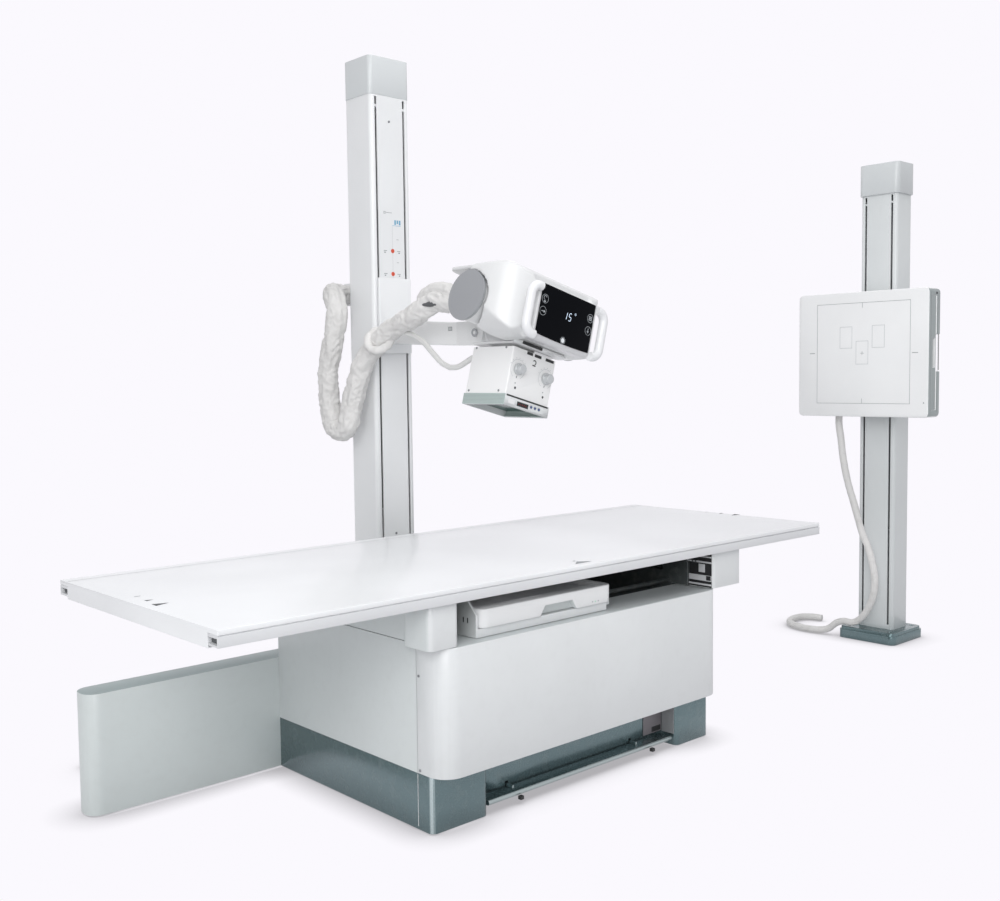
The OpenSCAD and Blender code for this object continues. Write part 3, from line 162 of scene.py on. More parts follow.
# Lighter copies of the slate paint, laid on the facets of the skirt's rounded front-left corner that face the
# light: painted highlights.
SLATE_SHEEN = Finish("slate_sheen_finish", (0.27, 0.34, 0.35), 0.28, metallic=0.65, coat=0.15)
SLATE_GLINT = Finish("slate_glint_finish", (0.46, 0.54, 0.55), 0.28, metallic=0.5, coat=0.15)
TREAD_EDGE = Finish("tread_edge_finish", (0.40, 0.46, 0.46), 0.3, metallic=0.6, brush=Brush.ALONG_X)
RECESS_PLATE = Finish("recess_plate_finish", (0.23, 0.215, 0.23), 0.5, metallic=0.3)
RECESS_SIDE = Finish("recess_side_finish", (0.36, 0.37, 0.38), 0.45, metallic=0.3)


class Shaders:
    """Builds the node groups that the finishes share, and one material for each finish."""

    def __init__(self) -> None:
        """Builds the shared groups once."""
        self.grain = self._grain_group()
        self.drift = self._drift_group()
        self.made: dict[str, bpy.types.Material] = {}

    @staticmethod
    def _sockets(tree: bpy.types.NodeTree, ins: dict[str, tuple[str, object]],
                 outs: dict[str, str]) -> tuple[bpy.types.Node, bpy.types.Node]:
        """Gives a group its named inputs and outputs.

        Args:
            tree: the group's tree.
            ins: name to (socket type, first value).
            outs: name to socket type.

        Returns:
            The group's input node and output node.
        """
        for name, (kind, value) in ins.items():
            made = tree.interface.new_socket(name, in_out="INPUT", socket_type=kind)
            if value is not None:
                made.default_value = value
        for name, kind in outs.items():
            tree.interface.new_socket(name, in_out="OUTPUT", socket_type=kind)
        return tree.nodes.new("NodeGroupInput"), tree.nodes.new("NodeGroupOutput")

    def _grain_group(self) -> bpy.types.NodeTree:
        """Fine surface grain, stretched along the brushing.

        Returns:
            A group with Stretch and Size going in, and Height coming out.
        """
        tree = bpy.data.node_groups.new("surface_grain", "ShaderNodeTree")
        ins, outs = self._sockets(
            tree, {"Stretch": ("NodeSocketVector", (1.0, 1.0, 1.0)),
                   "Size": ("NodeSocketFloat", 0.002)}, {"Height": "NodeSocketFloat"})
        place = tree.nodes.new("ShaderNodeTexCoord")
        stretch = tree.nodes.new("ShaderNodeVectorMath")
        stretch.operation = "MULTIPLY"
        count = tree.nodes.new("ShaderNodeMath")
        count.operation = "DIVIDE"
        count.inputs[0].default_value = 1.0
        scaled = tree.nodes.new("ShaderNodeVectorMath")
        scaled.operation = "SCALE"
        pattern = tree.nodes.new("ShaderNodeTexNoise")
        pattern.inputs["Scale"].default_value = 1.0
        pattern.inputs["Detail"].default_value = 3.0
        pattern.inputs["Roughness"].default_value = 0.55
        link = tree.links.new
        link(place.outputs["Object"], stretch.inputs[0])
        link(ins.outputs["Stretch"], stretch.inputs[1])
        link(ins.outputs["Size"], count.inputs[1])
        link(stretch.outputs[0], scaled.inputs[0])
        link(count.outputs[0], scaled.inputs["Scale"])
        link(scaled.outputs[0], pattern.inputs["Vector"])
        link(pattern.outputs["Fac"], outs.inputs["Height"])
        return tree

    def _drift_group(self) -> bpy.types.NodeTree:
        """Slow drift of a colour over a surface, with a little dust in spots on it.

        Returns:
            A group with Colour, Drift and Soil going in, and Colour and Dullness coming out.
        """
        tree = bpy.data.node_groups.new("colour_drift", "ShaderNodeTree")
        ins, outs = self._sockets(
            tree, {"Colour": ("NodeSocketColor", (0.8, 0.8, 0.8, 1.0)),
                   "Drift": ("NodeSocketFloat", 0.05), "Soil": ("NodeSocketFloat", 0.1)},
            {"Colour": "NodeSocketColor", "Dullness": "NodeSocketFloat"})
        place = tree.nodes.new("ShaderNodeTexCoord")
        slow = tree.nodes.new("ShaderNodeTexNoise")
        slow.inputs["Scale"].default_value = 3.0
        slow.inputs["Detail"].default_value = 4.0
        fine = tree.nodes.new("ShaderNodeTexNoise")
        fine.inputs["Scale"].default_value = 38.0
        fine.inputs["Detail"].default_value = 5.0
        shade = tree.nodes.new("ShaderNodeMapRange")
        shade.inputs["From Min"].default_value = 0.3
        shade.inputs["From Max"].default_value = 0.7
        shade.inputs["To Min"].default_value = -1.0
        amount = tree.nodes.new("ShaderNodeMath")
        amount.operation = "MULTIPLY_ADD"
        amount.inputs[2].default_value = 1.0
        tone = tree.nodes.new("ShaderNodeVectorMath")
        tone.operation = "SCALE"
        spots = tree.nodes.new("ShaderNodeMapRange")
        spots.inputs["From Min"].default_value = 0.5
        spots.inputs["From Max"].default_value = 0.75
        dust = tree.nodes.new("ShaderNodeMath")
        dust.operation = "MULTIPLY"
        mix = tree.nodes.new("ShaderNodeMix")
        mix.data_type = "RGBA"
        mix.inputs["B"].default_value = (0.42, 0.41, 0.39, 1.0)
        link = tree.links.new
        link(place.outputs["Object"], slow.inputs["Vector"])
        link(place.outputs["Object"], fine.inputs["Vector"])
        link(slow.outputs["Fac"], shade.inputs["Value"])
        link(shade.outputs["Result"], amount.inputs[0])
        link(ins.outputs["Drift"], amount.inputs[1])
        link(ins.outputs["Colour"], tone.inputs[0])
        link(amount.outputs[0], tone.inputs["Scale"])
        link(fine.outputs["Fac"], spots.inputs["Value"])
        link(spots.outputs["Result"], dust.inputs[0])
        link(ins.outputs["Soil"], dust.inputs[1])
        link(dust.outputs[0], mix.inputs["Factor"])
        link(tone.outputs[0], mix.inputs["A"])
        link(mix.outputs["Result"], outs.inputs["Colour"])
        link(dust.outputs[0], outs.inputs["Dullness"])
        return tree

    def material(self, finish: Finish) -> bpy.types.Material:
        """Makes the material of a finish, or returns the one already made.

        Args:
            finish: the finish.

        Returns:
            The material.
        """
        if finish.name in self.made:
            return self.made[finish.name]
        mat = bpy.data.materials.new(finish.name)
        mat.use_nodes = True
        nodes, link = mat.node_tree.nodes, mat.node_tree.links.new
        shader = nodes["Principled BSDF"]
        shader.inputs["Metallic"].default_value = finish.metallic
        shader.inputs["Specular IOR Level"].default_value = finish.specular
        shader.inputs["Coat Weight"].default_value = finish.coat
        shader.inputs["Coat Roughness"].default_value = 0.12
        tint = nodes.new("ShaderNodeGroup")
        tint.node_tree = self.drift
        tint.inputs["Colour"].default_value = (*finish.colour, 1.0)
        tint.inputs["Drift"].default_value = finish.drift
        tint.inputs["Soil"].default_value = finish.soil
        link(tint.outputs["Colour"], shader.inputs["Base Color"])
        rough = nodes.new("ShaderNodeMath")
        rough.operation = "MULTIPLY_ADD"
        rough.inputs[1].default_value = 0.5
        rough.inputs[2].default_value = finish.roughness
        link(tint.outputs["Dullness"], rough.inputs[0])
        if finish.grain > 0.0:
            grain = nodes.new("ShaderNodeGroup")
            grain.node_tree = self.grain
            grain.inputs["Stretch"].default_value = finish.brush.value
            grain.inputs["Size"].default_value = finish.grain_size
            bump = nodes.new("ShaderNodeBump")
            bump.inputs["Strength"].default_value = finish.grain
            bump.inputs["Distance"].default_value = finish.grain_size
            link(grain.outputs["Height"], bump.inputs["Height"])
            link(bump.outputs["Normal"], shader.inputs["Normal"])
            spread = nodes.new("ShaderNodeMath")
            spread.operation = "MULTIPLY_ADD"
            spread.inputs[1].default_value = 0.16
            spread.inputs[2].default_value = -0.08
            both = nodes.new("ShaderNodeMath")
            link(grain.outputs["Height"], spread.inputs[0])
            link(spread.outputs[0], both.inputs[0])
            link(rough.outputs[0], both.inputs[1])
            link(both.outputs[0], shader.inputs["Roughness"])
        else:
            link(rough.outputs[0], shader.inputs["Roughness"])
        if finish.glow > 0.0:
            shader.inputs["Emission Color"].default_value = (*finish.colour, 1.0)
            shader.inputs["Emission Strength"].default_value = finish.glow
        self.made[finish.name] = mat
        return mat


SHADERS = Shaders()


# ---------------------------------------------------------------- helpers


def head_place() -> Matrix:
    """Where the tube head's own axes lie.

    Returns:
        A matrix from the head's axes (along the tube, along the arm, up) to the row's frame.
    """
    joints = {joint["name"]: joint for joint in frame["joints"]}
    up = Vector(joints["collimator_swivel"]["axis"]).normalized()
    back = Vector((0.0, 1.0, 0.0))
    along = back.cross(up)
    place = Matrix.Translation(joints["head_turn"]["pos_m"])
    return place @ Matrix((along, back, up)).transposed().to_4x4()


HEAD = head_place()


def own_box(node: str, place: Matrix) -> tuple[Vector, Vector]:
    """A node's lowest and highest corner along turned axes.

    Args:
        node: the CAD node.
        place: the matrix of those axes.

    Returns:
        Both corners, in those axes.
    """
    back = place.inverted()
    spots = [back @ v.co for v in frame["nodes"][node].data.vertices]
    return (Vector(min(p[i] for p in spots) for i in range(3)),
            Vector(max(p[i] for p in spots) for i in range(3)))


def body_of(node: str) -> str:
    """The body that a CAD node rides on."""
    return frame["nodes"][node]["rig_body"]


def from_bmesh(name: str, bm: bmesh.types.BMesh, finish: Finish | Sequence[Finish],
               smooth: bool = True) -> bpy.types.Object:
    """Makes an object of a bmesh.

    Args:
        name: the piece's name.
        bm: the mesh, which is freed.
        finish: its finish or finishes.
        smooth: whether its faces are shaded smooth.

    Returns:
        The object, linked to the scene.
    """
    mesh = bpy.data.meshes.new(name)
    bm.to_mesh(mesh)
    bm.free()
    for one in [finish] if isinstance(finish, Finish) else finish:
        mesh.materials.append(SHADERS.material(one))
    if smooth:
        mesh.shade_smooth()
    made = bpy.data.objects.new(name, mesh)
    bpy.context.scene.collection.objects.link(made)
    return made


def applied(obj: bpy.types.Object) -> bpy.types.Object:
    """Turns an object's modifiers into plain mesh.

    Args:
        obj: the object.

    Returns:
        The same object, with no modifiers.
    """
    graph = bpy.context.evaluated_depsgraph_get()
    graph.update()
    mesh = bpy.data.meshes.new_from_object(obj.evaluated_get(graph), depsgraph=graph)
    obj.modifiers.clear()
    old, obj.data = obj.data, mesh
    bpy.data.meshes.remove(old)
    return obj


def sharpened(obj: bpy.types.Object, degrees: float = 32.0) -> bpy.types.Object:
    """Marks an object's creases sharp, so that it shades smooth elsewhere.

    Args:
        obj: the object.
        degrees: the turn between two faces past which their edge is a crease.

    Returns:
        The same object.
    """
    obj.data.shade_smooth()
    obj.data.set_sharp_from_angle(angle=math.radians(degrees))
    return obj


def rounded(obj: bpy.types.Object, width: float, segments: int = 3,
            degrees: float = 34.0) -> bpy.types.Object:
    """Rounds an object's edges with a bevel that is made plain mesh.

    Args:
        obj: the object.
        width: the bevel's width, in metres.
        segments: how many faces it has across.
        degrees: the sharpest angle that is left alone.

    Returns:
        The same object.
    """
    bevel = obj.modifiers.new("round", "BEVEL")
    bevel.width = width
    bevel.segments = segments
    bevel.limit_method = "ANGLE"
    bevel.angle_limit = math.radians(degrees)
    bevel.use_clamp_overlap = True
    bevel.harden_normals = True
    obj.data.shade_smooth()
    return applied(obj)


Rule = Callable[[Vector, Vector], bool]


def dressed(node: str, finish: Finish, width: float = 0.0012, segments: int = 2,
            also: Sequence[tuple[Finish, Rule]] = ()) -> bpy.types.Object:
    """Stands in for a CAD node with the same shape, with its edges rounded and a finish.

    Args:
        node: the CAD node.
        finish: its finish.
        width: how far its edges are rounded, in metres.
        segments: how many faces the rounding has.
        also: other finishes, each with a rule that picks its faces by their middle and normal.

    Returns:
        The new piece.
    """
    bm = bmesh.new()
    bm.from_mesh(frame["nodes"][node].data)
    bmesh.ops.remove_doubles(bm, verts=bm.verts, dist=2e-6)
    bmesh.ops.dissolve_limit(bm, angle_limit=math.radians(0.6), verts=bm.verts, edges=bm.edges)
    made = from_bmesh(node + "_skin", bm, [finish, *(other for other, _ in also)])
    rounded(made, width, segments)
    for slot, (_, rule) in enumerate(also, 1):
        for face in made.data.polygons:
            if rule(face.center, face.normal):
                face.material_index = slot
    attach(made, body_of(node))
    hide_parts(node)
    LOG.info("dressed %s with %d faces", node, len(made.data.polygons))
    return made


def softened(name: str, node: str, room: Sequence[str], finish: Finish, voxel: float, rounds: int,
             place: Matrix) -> bpy.types.Object:
    """Moulds one soft-edged skin over a CAD node, whose room it keeps to.

    Args:
        name: the piece's name.
        node: the CAD node that it stands in for.
        room: neighbours on the same body that the skin flows into.
        finish: its finish.
        voxel: the size of its mesh, in metres.
        rounds: how often its edges are eased.
        place: the axes along which the mesh is laid.

    Returns:
        The new piece.
    """
    bm = bmesh.new()
    low, high = own_box(node, place)
    for one in (node, *room):
        part = bmesh.new()
        part.from_mesh(frame["nodes"][one].data)
        part.transform(place.inverted())
        if one != node:
            bottom, top = own_box(one, place)
            for v in part.verts:
                v.co.x *= 1.012
                if v.co.y > (bottom.y + top.y) / 2:
                    v.co.y += 8 * MM
            low = Vector(map(min, low, bottom))
            high = Vector(map(max, high, top))
        copy = bpy.data.meshes.new("part")
        part.to_mesh(copy)
        part.free()
        bm.from_mesh(copy)
        bpy.data.meshes.remove(copy)
    made = from_bmesh(name, bm, finish)
    grow = made.modifiers.new("grow", "REMESH")
    grow.mode, grow.voxel_size = "VOXEL", voxel
    ease = made.modifiers.new("ease", "SMOOTH")
    ease.factor, ease.iterations = 0.5, rounds
    applied(made)
    for v in made.data.vertices:
        v.co = Vector(min(max(c, a), b) for c, a, b in zip(v.co, low, high))
    made.data.transform(place)
    made.data.shade_smooth()
    if not made.data.materials:
        made.data.materials.append(SHADERS.material(finish))
    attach(made, body_of(node))
    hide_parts(node)
    LOG.info("moulded %s with %d faces", name, len(made.data.polygons))
    return made


def turned(name: str, place: Matrix, profile: Sequence[tuple[float, float]], finish: Finish,
           body: str, steps: int = 40) -> bpy.types.Object:
    """Turns a profile round a matrix's third axis.

    Args:
        name: the piece's name.
        place: the matrix, whose origin the profile's heights start from.
        profile: (radius, height) from the axis at the bottom to the axis at the top, in metres.
        finish: its finish.
        body: the body that it rides on.
        steps: how many sides it has.

    Returns:
        The new piece.
    """
    bm = bmesh.new()
    rings = []
    for radius, height in profile:
        if radius == 0.0:
            rings.append([bm.verts.new(place @ Vector((0.0, 0.0, height)))])
            continue
        rings.append([bm.verts.new(place @ Vector((radius * math.cos(2 * math.pi * k / steps),
                                                   radius * math.sin(2 * math.pi * k / steps), height)))
                      for k in range(steps)])
    for one, two in zip(rings, rings[1:]):
        for k in range(steps):
            j = (k + 1) % steps
            corners = [one[k % len(one)], one[j % len(one)], two[j % len(two)], two[k % len(two)]]
            bm.faces.new(list(dict.fromkeys(corners)))
    bmesh.ops.recalc_face_normals(bm, faces=bm.faces)
    made = sharpened(from_bmesh(name, bm, finish))
    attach(made, body)
    return made


def plates(name: str, blocks: Iterable[tuple[Sequence[float], Sequence[float]]], finish: Finish,
           body: str, width: float = 0.0006, place: Matrix | None = None) -> bpy.types.Object:
    """Makes sheet and bar stock with eased edges, as one piece.

    Args:
        name: the piece's name.
        blocks: each bar's low and high corner, in millimetres.
        finish: its finish.
        body: the body that it rides on.
        width: how far the edges are rounded, in metres.
        place: the axes that the corners are given in, or None for the row's own.

    Returns:
        The new piece.
    """
    bm = bmesh.new()
    for low, high in blocks:
        cube = bmesh.ops.create_cube(bm, size=1.0)["verts"]
        for v in cube:
            v.co = Vector((a if c < 0 else b) * MM for a, b, c in zip(low, high, v.co))
    if place is not None:
        bm.transform(place)
    made = rounded(from_bmesh(name, bm, finish), width, 2)
    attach(made, body)
    return made


class Repeats:
    """Sets copies of one small part at many places, with one geometry node group."""

    def __init__(self) -> None:
        """Builds the node group once."""
        tree = bpy.data.node_groups.new("set_at_places", "GeometryNodeTree")
        for name, kind in (("Places", "NodeSocketGeometry"), ("Part", "NodeSocketObject"),
                           ("Size", "NodeSocketFloat"), ("Spin", "NodeSocketFloat"),
                           ("Seed", "NodeSocketInt"), ("Finish", "NodeSocketMaterial")):
            tree.interface.new_socket(name, in_out="INPUT", socket_type=kind)
        tree.interface.new_socket("Geometry", in_out="OUTPUT", socket_type="NodeSocketGeometry")
        new, link = tree.nodes.new, tree.links.new
        ins, outs = new("NodeGroupInput"), new("NodeGroupOutput")
        part = new("GeometryNodeObjectInfo")
        facing = new("GeometryNodeInputNamedAttribute")
        facing.data_type = "FLOAT_VECTOR"
        facing.inputs["Name"].default_value = "facing"
        align = new("FunctionNodeAlignRotationToVector")
        align.axis = "Z"
        angle = new("FunctionNodeRandomValue")
        angle.data_type = "FLOAT"
        turn = new("FunctionNodeAxisAngleToRotation")
        turn.inputs["Axis"].default_value = (0.0, 0.0, 1.0)
        spun = new("FunctionNodeRotateRotation")
        spun.rotation_space = "LOCAL"
        setter = new("GeometryNodeInstanceOnPoints")
        real, dress = new("GeometryNodeRealizeInstances"), new("GeometryNodeSetMaterial")
        socket = {s.name: s for s in angle.inputs if s.enabled}
        link(ins.outputs["Part"], part.inputs["Object"])
        link(next(s for s in facing.outputs if s.enabled and s.name == "Attribute"), align.inputs["Vector"])
        link(ins.outputs["Spin"], socket["Max"])
        link(ins.outputs["Seed"], socket["Seed"])
        link(next(s for s in angle.outputs if s.enabled), turn.inputs["Angle"])
        link(align.outputs["Rotation"], spun.inputs["Rotation"])
        link(turn.outputs["Rotation"], spun.inputs["Rotate By"])
        link(ins.outputs["Places"], setter.inputs["Points"])
        link(part.outputs["Geometry"], setter.inputs["Instance"])
        link(spun.outputs["Rotation"], setter.inputs["Rotation"])
        link(ins.outputs["Size"], setter.inputs["Scale"])
        link(setter.outputs["Instances"], real.inputs["Geometry"])
        link(real.outputs["Geometry"], dress.inputs["Geometry"])
        link(ins.outputs["Finish"], dress.inputs["Material"])
        link(dress.outputs["Geometry"], outs.inputs["Geometry"])
        self.tree = tree

    def lay(self, name: str, part: bpy.types.Object, places: Sequence[tuple[Vector, Vector]],
            finish: Finish, body: str, size: float = 1.0, spin: float = 0.0,
            seed: int = 1) -> bpy.types.Object:
        """Lays copies of a part.

        Args:
            name: the new piece's name.
            part: the part, facing up at the origin.
            places: each copy's place and the direction that it faces.
            finish: its finish.
            body: the body that it rides on.
            size: scales the part.
            spin: the largest turn round its own axis, in radians.
            seed: picks the turns.

        Returns:
            The new piece, as plain mesh.
        """
        mesh = bpy.data.meshes.new(name)
        mesh.from_pydata([tuple(p) for p, _ in places], [], [])
        facing = mesh.attributes.new("facing", "FLOAT_VECTOR", "POINT")
        for k, (_, ahead) in enumerate(places):
            facing.data[k].vector = ahead
        made = bpy.data.objects.new(name, mesh)
        bpy.context.scene.collection.objects.link(made)
        nodes = made.modifiers.new("lay", "NODES")
        nodes.node_group = self.tree
        values = {"Part": part, "Size": size, "Spin": spin, "Seed": seed,
                  "Finish": SHADERS.material(finish)}
        for item in self.tree.interface.items_tree:
            if item.in_out == "INPUT" and item.name in values:
                nodes[item.identifier] = values[item.name]
        applied(made)
        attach(made, body)
        LOG.info("laid %s with %d copies", name, len(places))
        return made

    @staticmethod
    def discard(part: bpy.types.Object) -> None:
        """Removes a part that was only copied from.

        Args:
            part: the part.
        """
        mesh = part.data
        bpy.data.objects.remove(part)
        bpy.data.meshes.remove(mesh)

    @staticmethod
    def screw() -> bpy.types.Object:
        """A socket screw's head of 1 m radius, facing up, to be scaled down.

        Returns:
            The head, as an object that is only copied from.
        """
        bm = bmesh.new()
        rings = []
        for radius, height, sides in ((0.0, 0.05, 1), (0.42, 0.05, 6), (0.46, 0.5, 6), (0.8, 0.52, 24),
                                      (1.0, 0.3, 24), (1.0, -0.1, 24)):
            rings.append([bm.verts.new((radius * math.cos(2 * math.pi * (k // (24 // sides)) / sides),
                                        radius * math.sin(2 * math.pi * (k // (24 // sides)) / sides),
                                        height)) for k in range(24)])
        for one, two in zip(rings, rings[1:]):
            for k in range(24):
                bm.faces.new((one[k], one[(k + 1) % 24], two[(k + 1) % 24], two[k]))
        bmesh.ops.remove_doubles(bm, verts=bm.verts, dist=1e-4)
        bmesh.ops.dissolve_degenerate(bm, edges=bm.edges, dist=1e-5)
        bmesh.ops.recalc_face_normals(bm, faces=bm.faces)
        return from_bmesh("screw_pattern", bm, ZINC, smooth=False)


REPEATS = Repeats()


def screws(name: str, places: Sequence[tuple[Vector, Vector]], radius: float, body: str,
           finish: Finish, seed: int) -> None:
    """Sets screws at places on one body.

    Args:
        name: the piece's name.
        places: each screw's place and the direction that it faces.
        radius: the heads' radius, in metres.
        body: the body that they ride on.
        finish: their finish.
        seed: picks how each one is turned.
    """
    pattern = REPEATS.screw()
    REPEATS.lay(name, pattern, places, finish, body, size=radius, spin=2 * math.pi, seed=seed)
    REPEATS.discard(pattern)


def painted(node: str, finish: Finish) -> None:
    """Gives a CAD node that keeps its own mesh a finish.

    Args:
        node: the CAD node.
        finish: its finish.
    """
    obj = frame["nodes"][node]
    obj.data.materials.clear()
    obj.data.materials.append(SHADERS.material(finish))


@dataclass(frozen=True)
class Face:
    """A flat place on which marks are laid: an origin, and its directions to the right and up."""

    origin: Vector
    right: Vector
    up: Vector
    body: str

    def at(self, x: float, y: float, lift: float = 0.0003) -> Vector:
        """The point x to the right, y up and lift out of the face, in metres."""
        return self.origin + x * self.right + y * self.up + lift * self.right.cross(self.up)


class Marks:
    """Flat marks on a face, gathered into one piece for each finish."""

    def __init__(self, face: Face, lift: float = 0.0003) -> None:
        """Starts with no marks on a face.

        Args:
            face: where the marks lie.
            lift: how far out of the face they lie, in metres.
        """
        self.face, self.lift = face, lift
        self.parts: dict[str, tuple[Finish, bmesh.types.BMesh]] = {}

    def _mesh(self, finish: Finish) -> bmesh.types.BMesh:
        """The mesh that holds a finish's marks."""
        return self.parts.setdefault(finish.name, (finish, bmesh.new()))[1]

    def shape(self, finish: Finish, spots: Iterable[tuple[float, float]]) -> None:
        """Adds a filled outline, whose points run anticlockwise."""
        bm = self._mesh(finish)
        bm.faces.new([bm.verts.new(self.face.at(x, y, self.lift)) for x, y in spots])

    def bar(self, finish: Finish, x0: float, y0: float, x1: float, y1: float) -> None:
        """Adds a filled rectangle from its low corner to its high corner."""
        self.shape(finish, [(x0, y0), (x1, y0), (x1, y1), (x0, y1)])

    def frame(self, finish: Finish, x0: float, y0: float, x1: float, y1: float,
              line: float) -> None:
        """Adds a rectangle's outline, drawn with a line inside it.

        Args:
            finish: its finish.
            x0: its left side.
            y0: its low side.
            x1: its right side.
            y1: its high side.
            line: the line's width.
        """
        self.bar(finish, x0, y0, x1, y0 + line)
        self.bar(finish, x0, y1 - line, x1, y1)
        self.bar(finish, x0, y0 + line, x0 + line, y1 - line)
        self.bar(finish, x1 - line, y0 + line, x1, y1 - line)

    def ring(self, finish: Finish, x: float, y: float, outer: float, inner: float = 0.0,
             start: float = 0.0, turn: float = 360.0, steps: int = 36) -> None:
        """Adds a disc, or a ring or a stretch of one.

        Args:
            finish: its finish.
            x: its centre to the right.
            y: its centre up.
            outer: its outer radius.
            inner: its inner radius, or 0 for a disc.
            start: where a stretch starts, in degrees.
            turn: how far it runs, in degrees.
            steps: how many straight sides it has.
        """
        spots = [(math.cos(math.radians(start + turn * k / steps)),
                  math.sin(math.radians(start + turn * k / steps))) for k in range(steps + 1)]
        for (c0, s0), (c1, s1) in zip(spots, spots[1:]):
            self.shape(finish, [(x + inner * c0, y + inner * s0), (x + outer * c0, y + outer * s0),
                                (x + outer * c1, y + outer * s1), (x + inner * c1, y + inner * s1)]
                       if inner > 0.0 else
                       [(x, y), (x + outer * c0, y + outer * s0), (x + outer * c1, y + outer * s1)])

    def finish(self, name: str) -> None:
        """Makes the pieces, one for each finish, and lets them ride.

        Args:
            name: the start of each piece's name.
        """
        for key, (finish, bm) in self.parts.items():
            made = from_bmesh(f"{name}_{key.removesuffix('_finish')}", bm, finish, smooth=False)
            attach(made, self.face.body)
            LOG.info("marked %s", made.name)


def smooth_line(points: Sequence[Vector], step: float) -> list[Vector]:
    """A smooth curve through points, with even spacing.

    Args:
        points: the points.
        step: the spacing wanted, in metres.

    Returns:
        Points on the curve, ends included.
    """
    ends = [2 * points[0] - points[1], *points, 2 * points[-1] - points[-2]]
    fine: list[Vector] = []
    for a, b, c, d in zip(ends, ends[1:], ends[2:], ends[3:]):
        for k in range(24):
            t = k / 24
            fine.append(0.5 * ((2 * b) + (c - a) * t + (2 * a - 5 * b + 4 * c - d) * t * t
                               + (3 * b - a - 3 * c + d) * t ** 3))
    fine.append(points[-1].copy())
    lengths = [0.0]
    for p, q in zip(fine, fine[1:]):
        lengths.append(lengths[-1] + (q - p).length)
    count = max(2, round(lengths[-1] / step))
    line, i = [], 0
    for k in range(count + 1):
        want = lengths[-1] * k / count
        while i < len(lengths) - 2 and lengths[i + 1] < want:
            i += 1
        share = (want - lengths[i]) / max(lengths[i + 1] - lengths[i], 1e-9)
        line.append(fine[i].lerp(fine[i + 1], min(1.0, share)))
    return line


def length_of(line: Sequence[Vector]) -> float:
    """The length of a line through points."""
    return sum((q - p).length for p, q in zip(line, line[1:]))


def tube(line: Sequence[Vector], radius: Callable[[int, float], float], sides: int) -> bmesh.types.BMesh:
    """A closed tube along a line, whose radius may change from place to place.

    Args:
        line: the points that it follows.
        radius: gives the radius at a point's number and an angle.
        sides: how many sides it has.

    Returns:
        The mesh.
    """
    bm = bmesh.new()
    rings = []
    side = None
    for i, p in enumerate(line):
        ahead = (line[min(i + 1, len(line) - 1)] - line[max(i - 1, 0)]).normalized()
        if side is None:
            side = Vector((1, 0, 0)) if abs(ahead.z) > 0.9 else Vector((0, 0, 1))
        side = (side - ahead * side.dot(ahead)).normalized()
        other = ahead.cross(side)
        ring = []
        for k in range(sides):
            a = 2 * math.pi * k / sides
            ring.append(bm.verts.new(p + radius(i, a) * (math.cos(a) * side + math.sin(a) * other)))
        rings.append(ring)
    for one, two in zip(rings, rings[1:]):
        for k in range(sides):
            j = (k + 1) % sides
            bm.faces.new((one[k], one[j], two[j], two[k]))
    bm.faces.new(list(reversed(rings[0])))
    bm.faces.new(rings[-1])
    return bm


# ---------------------------------------------------------------- camera and room


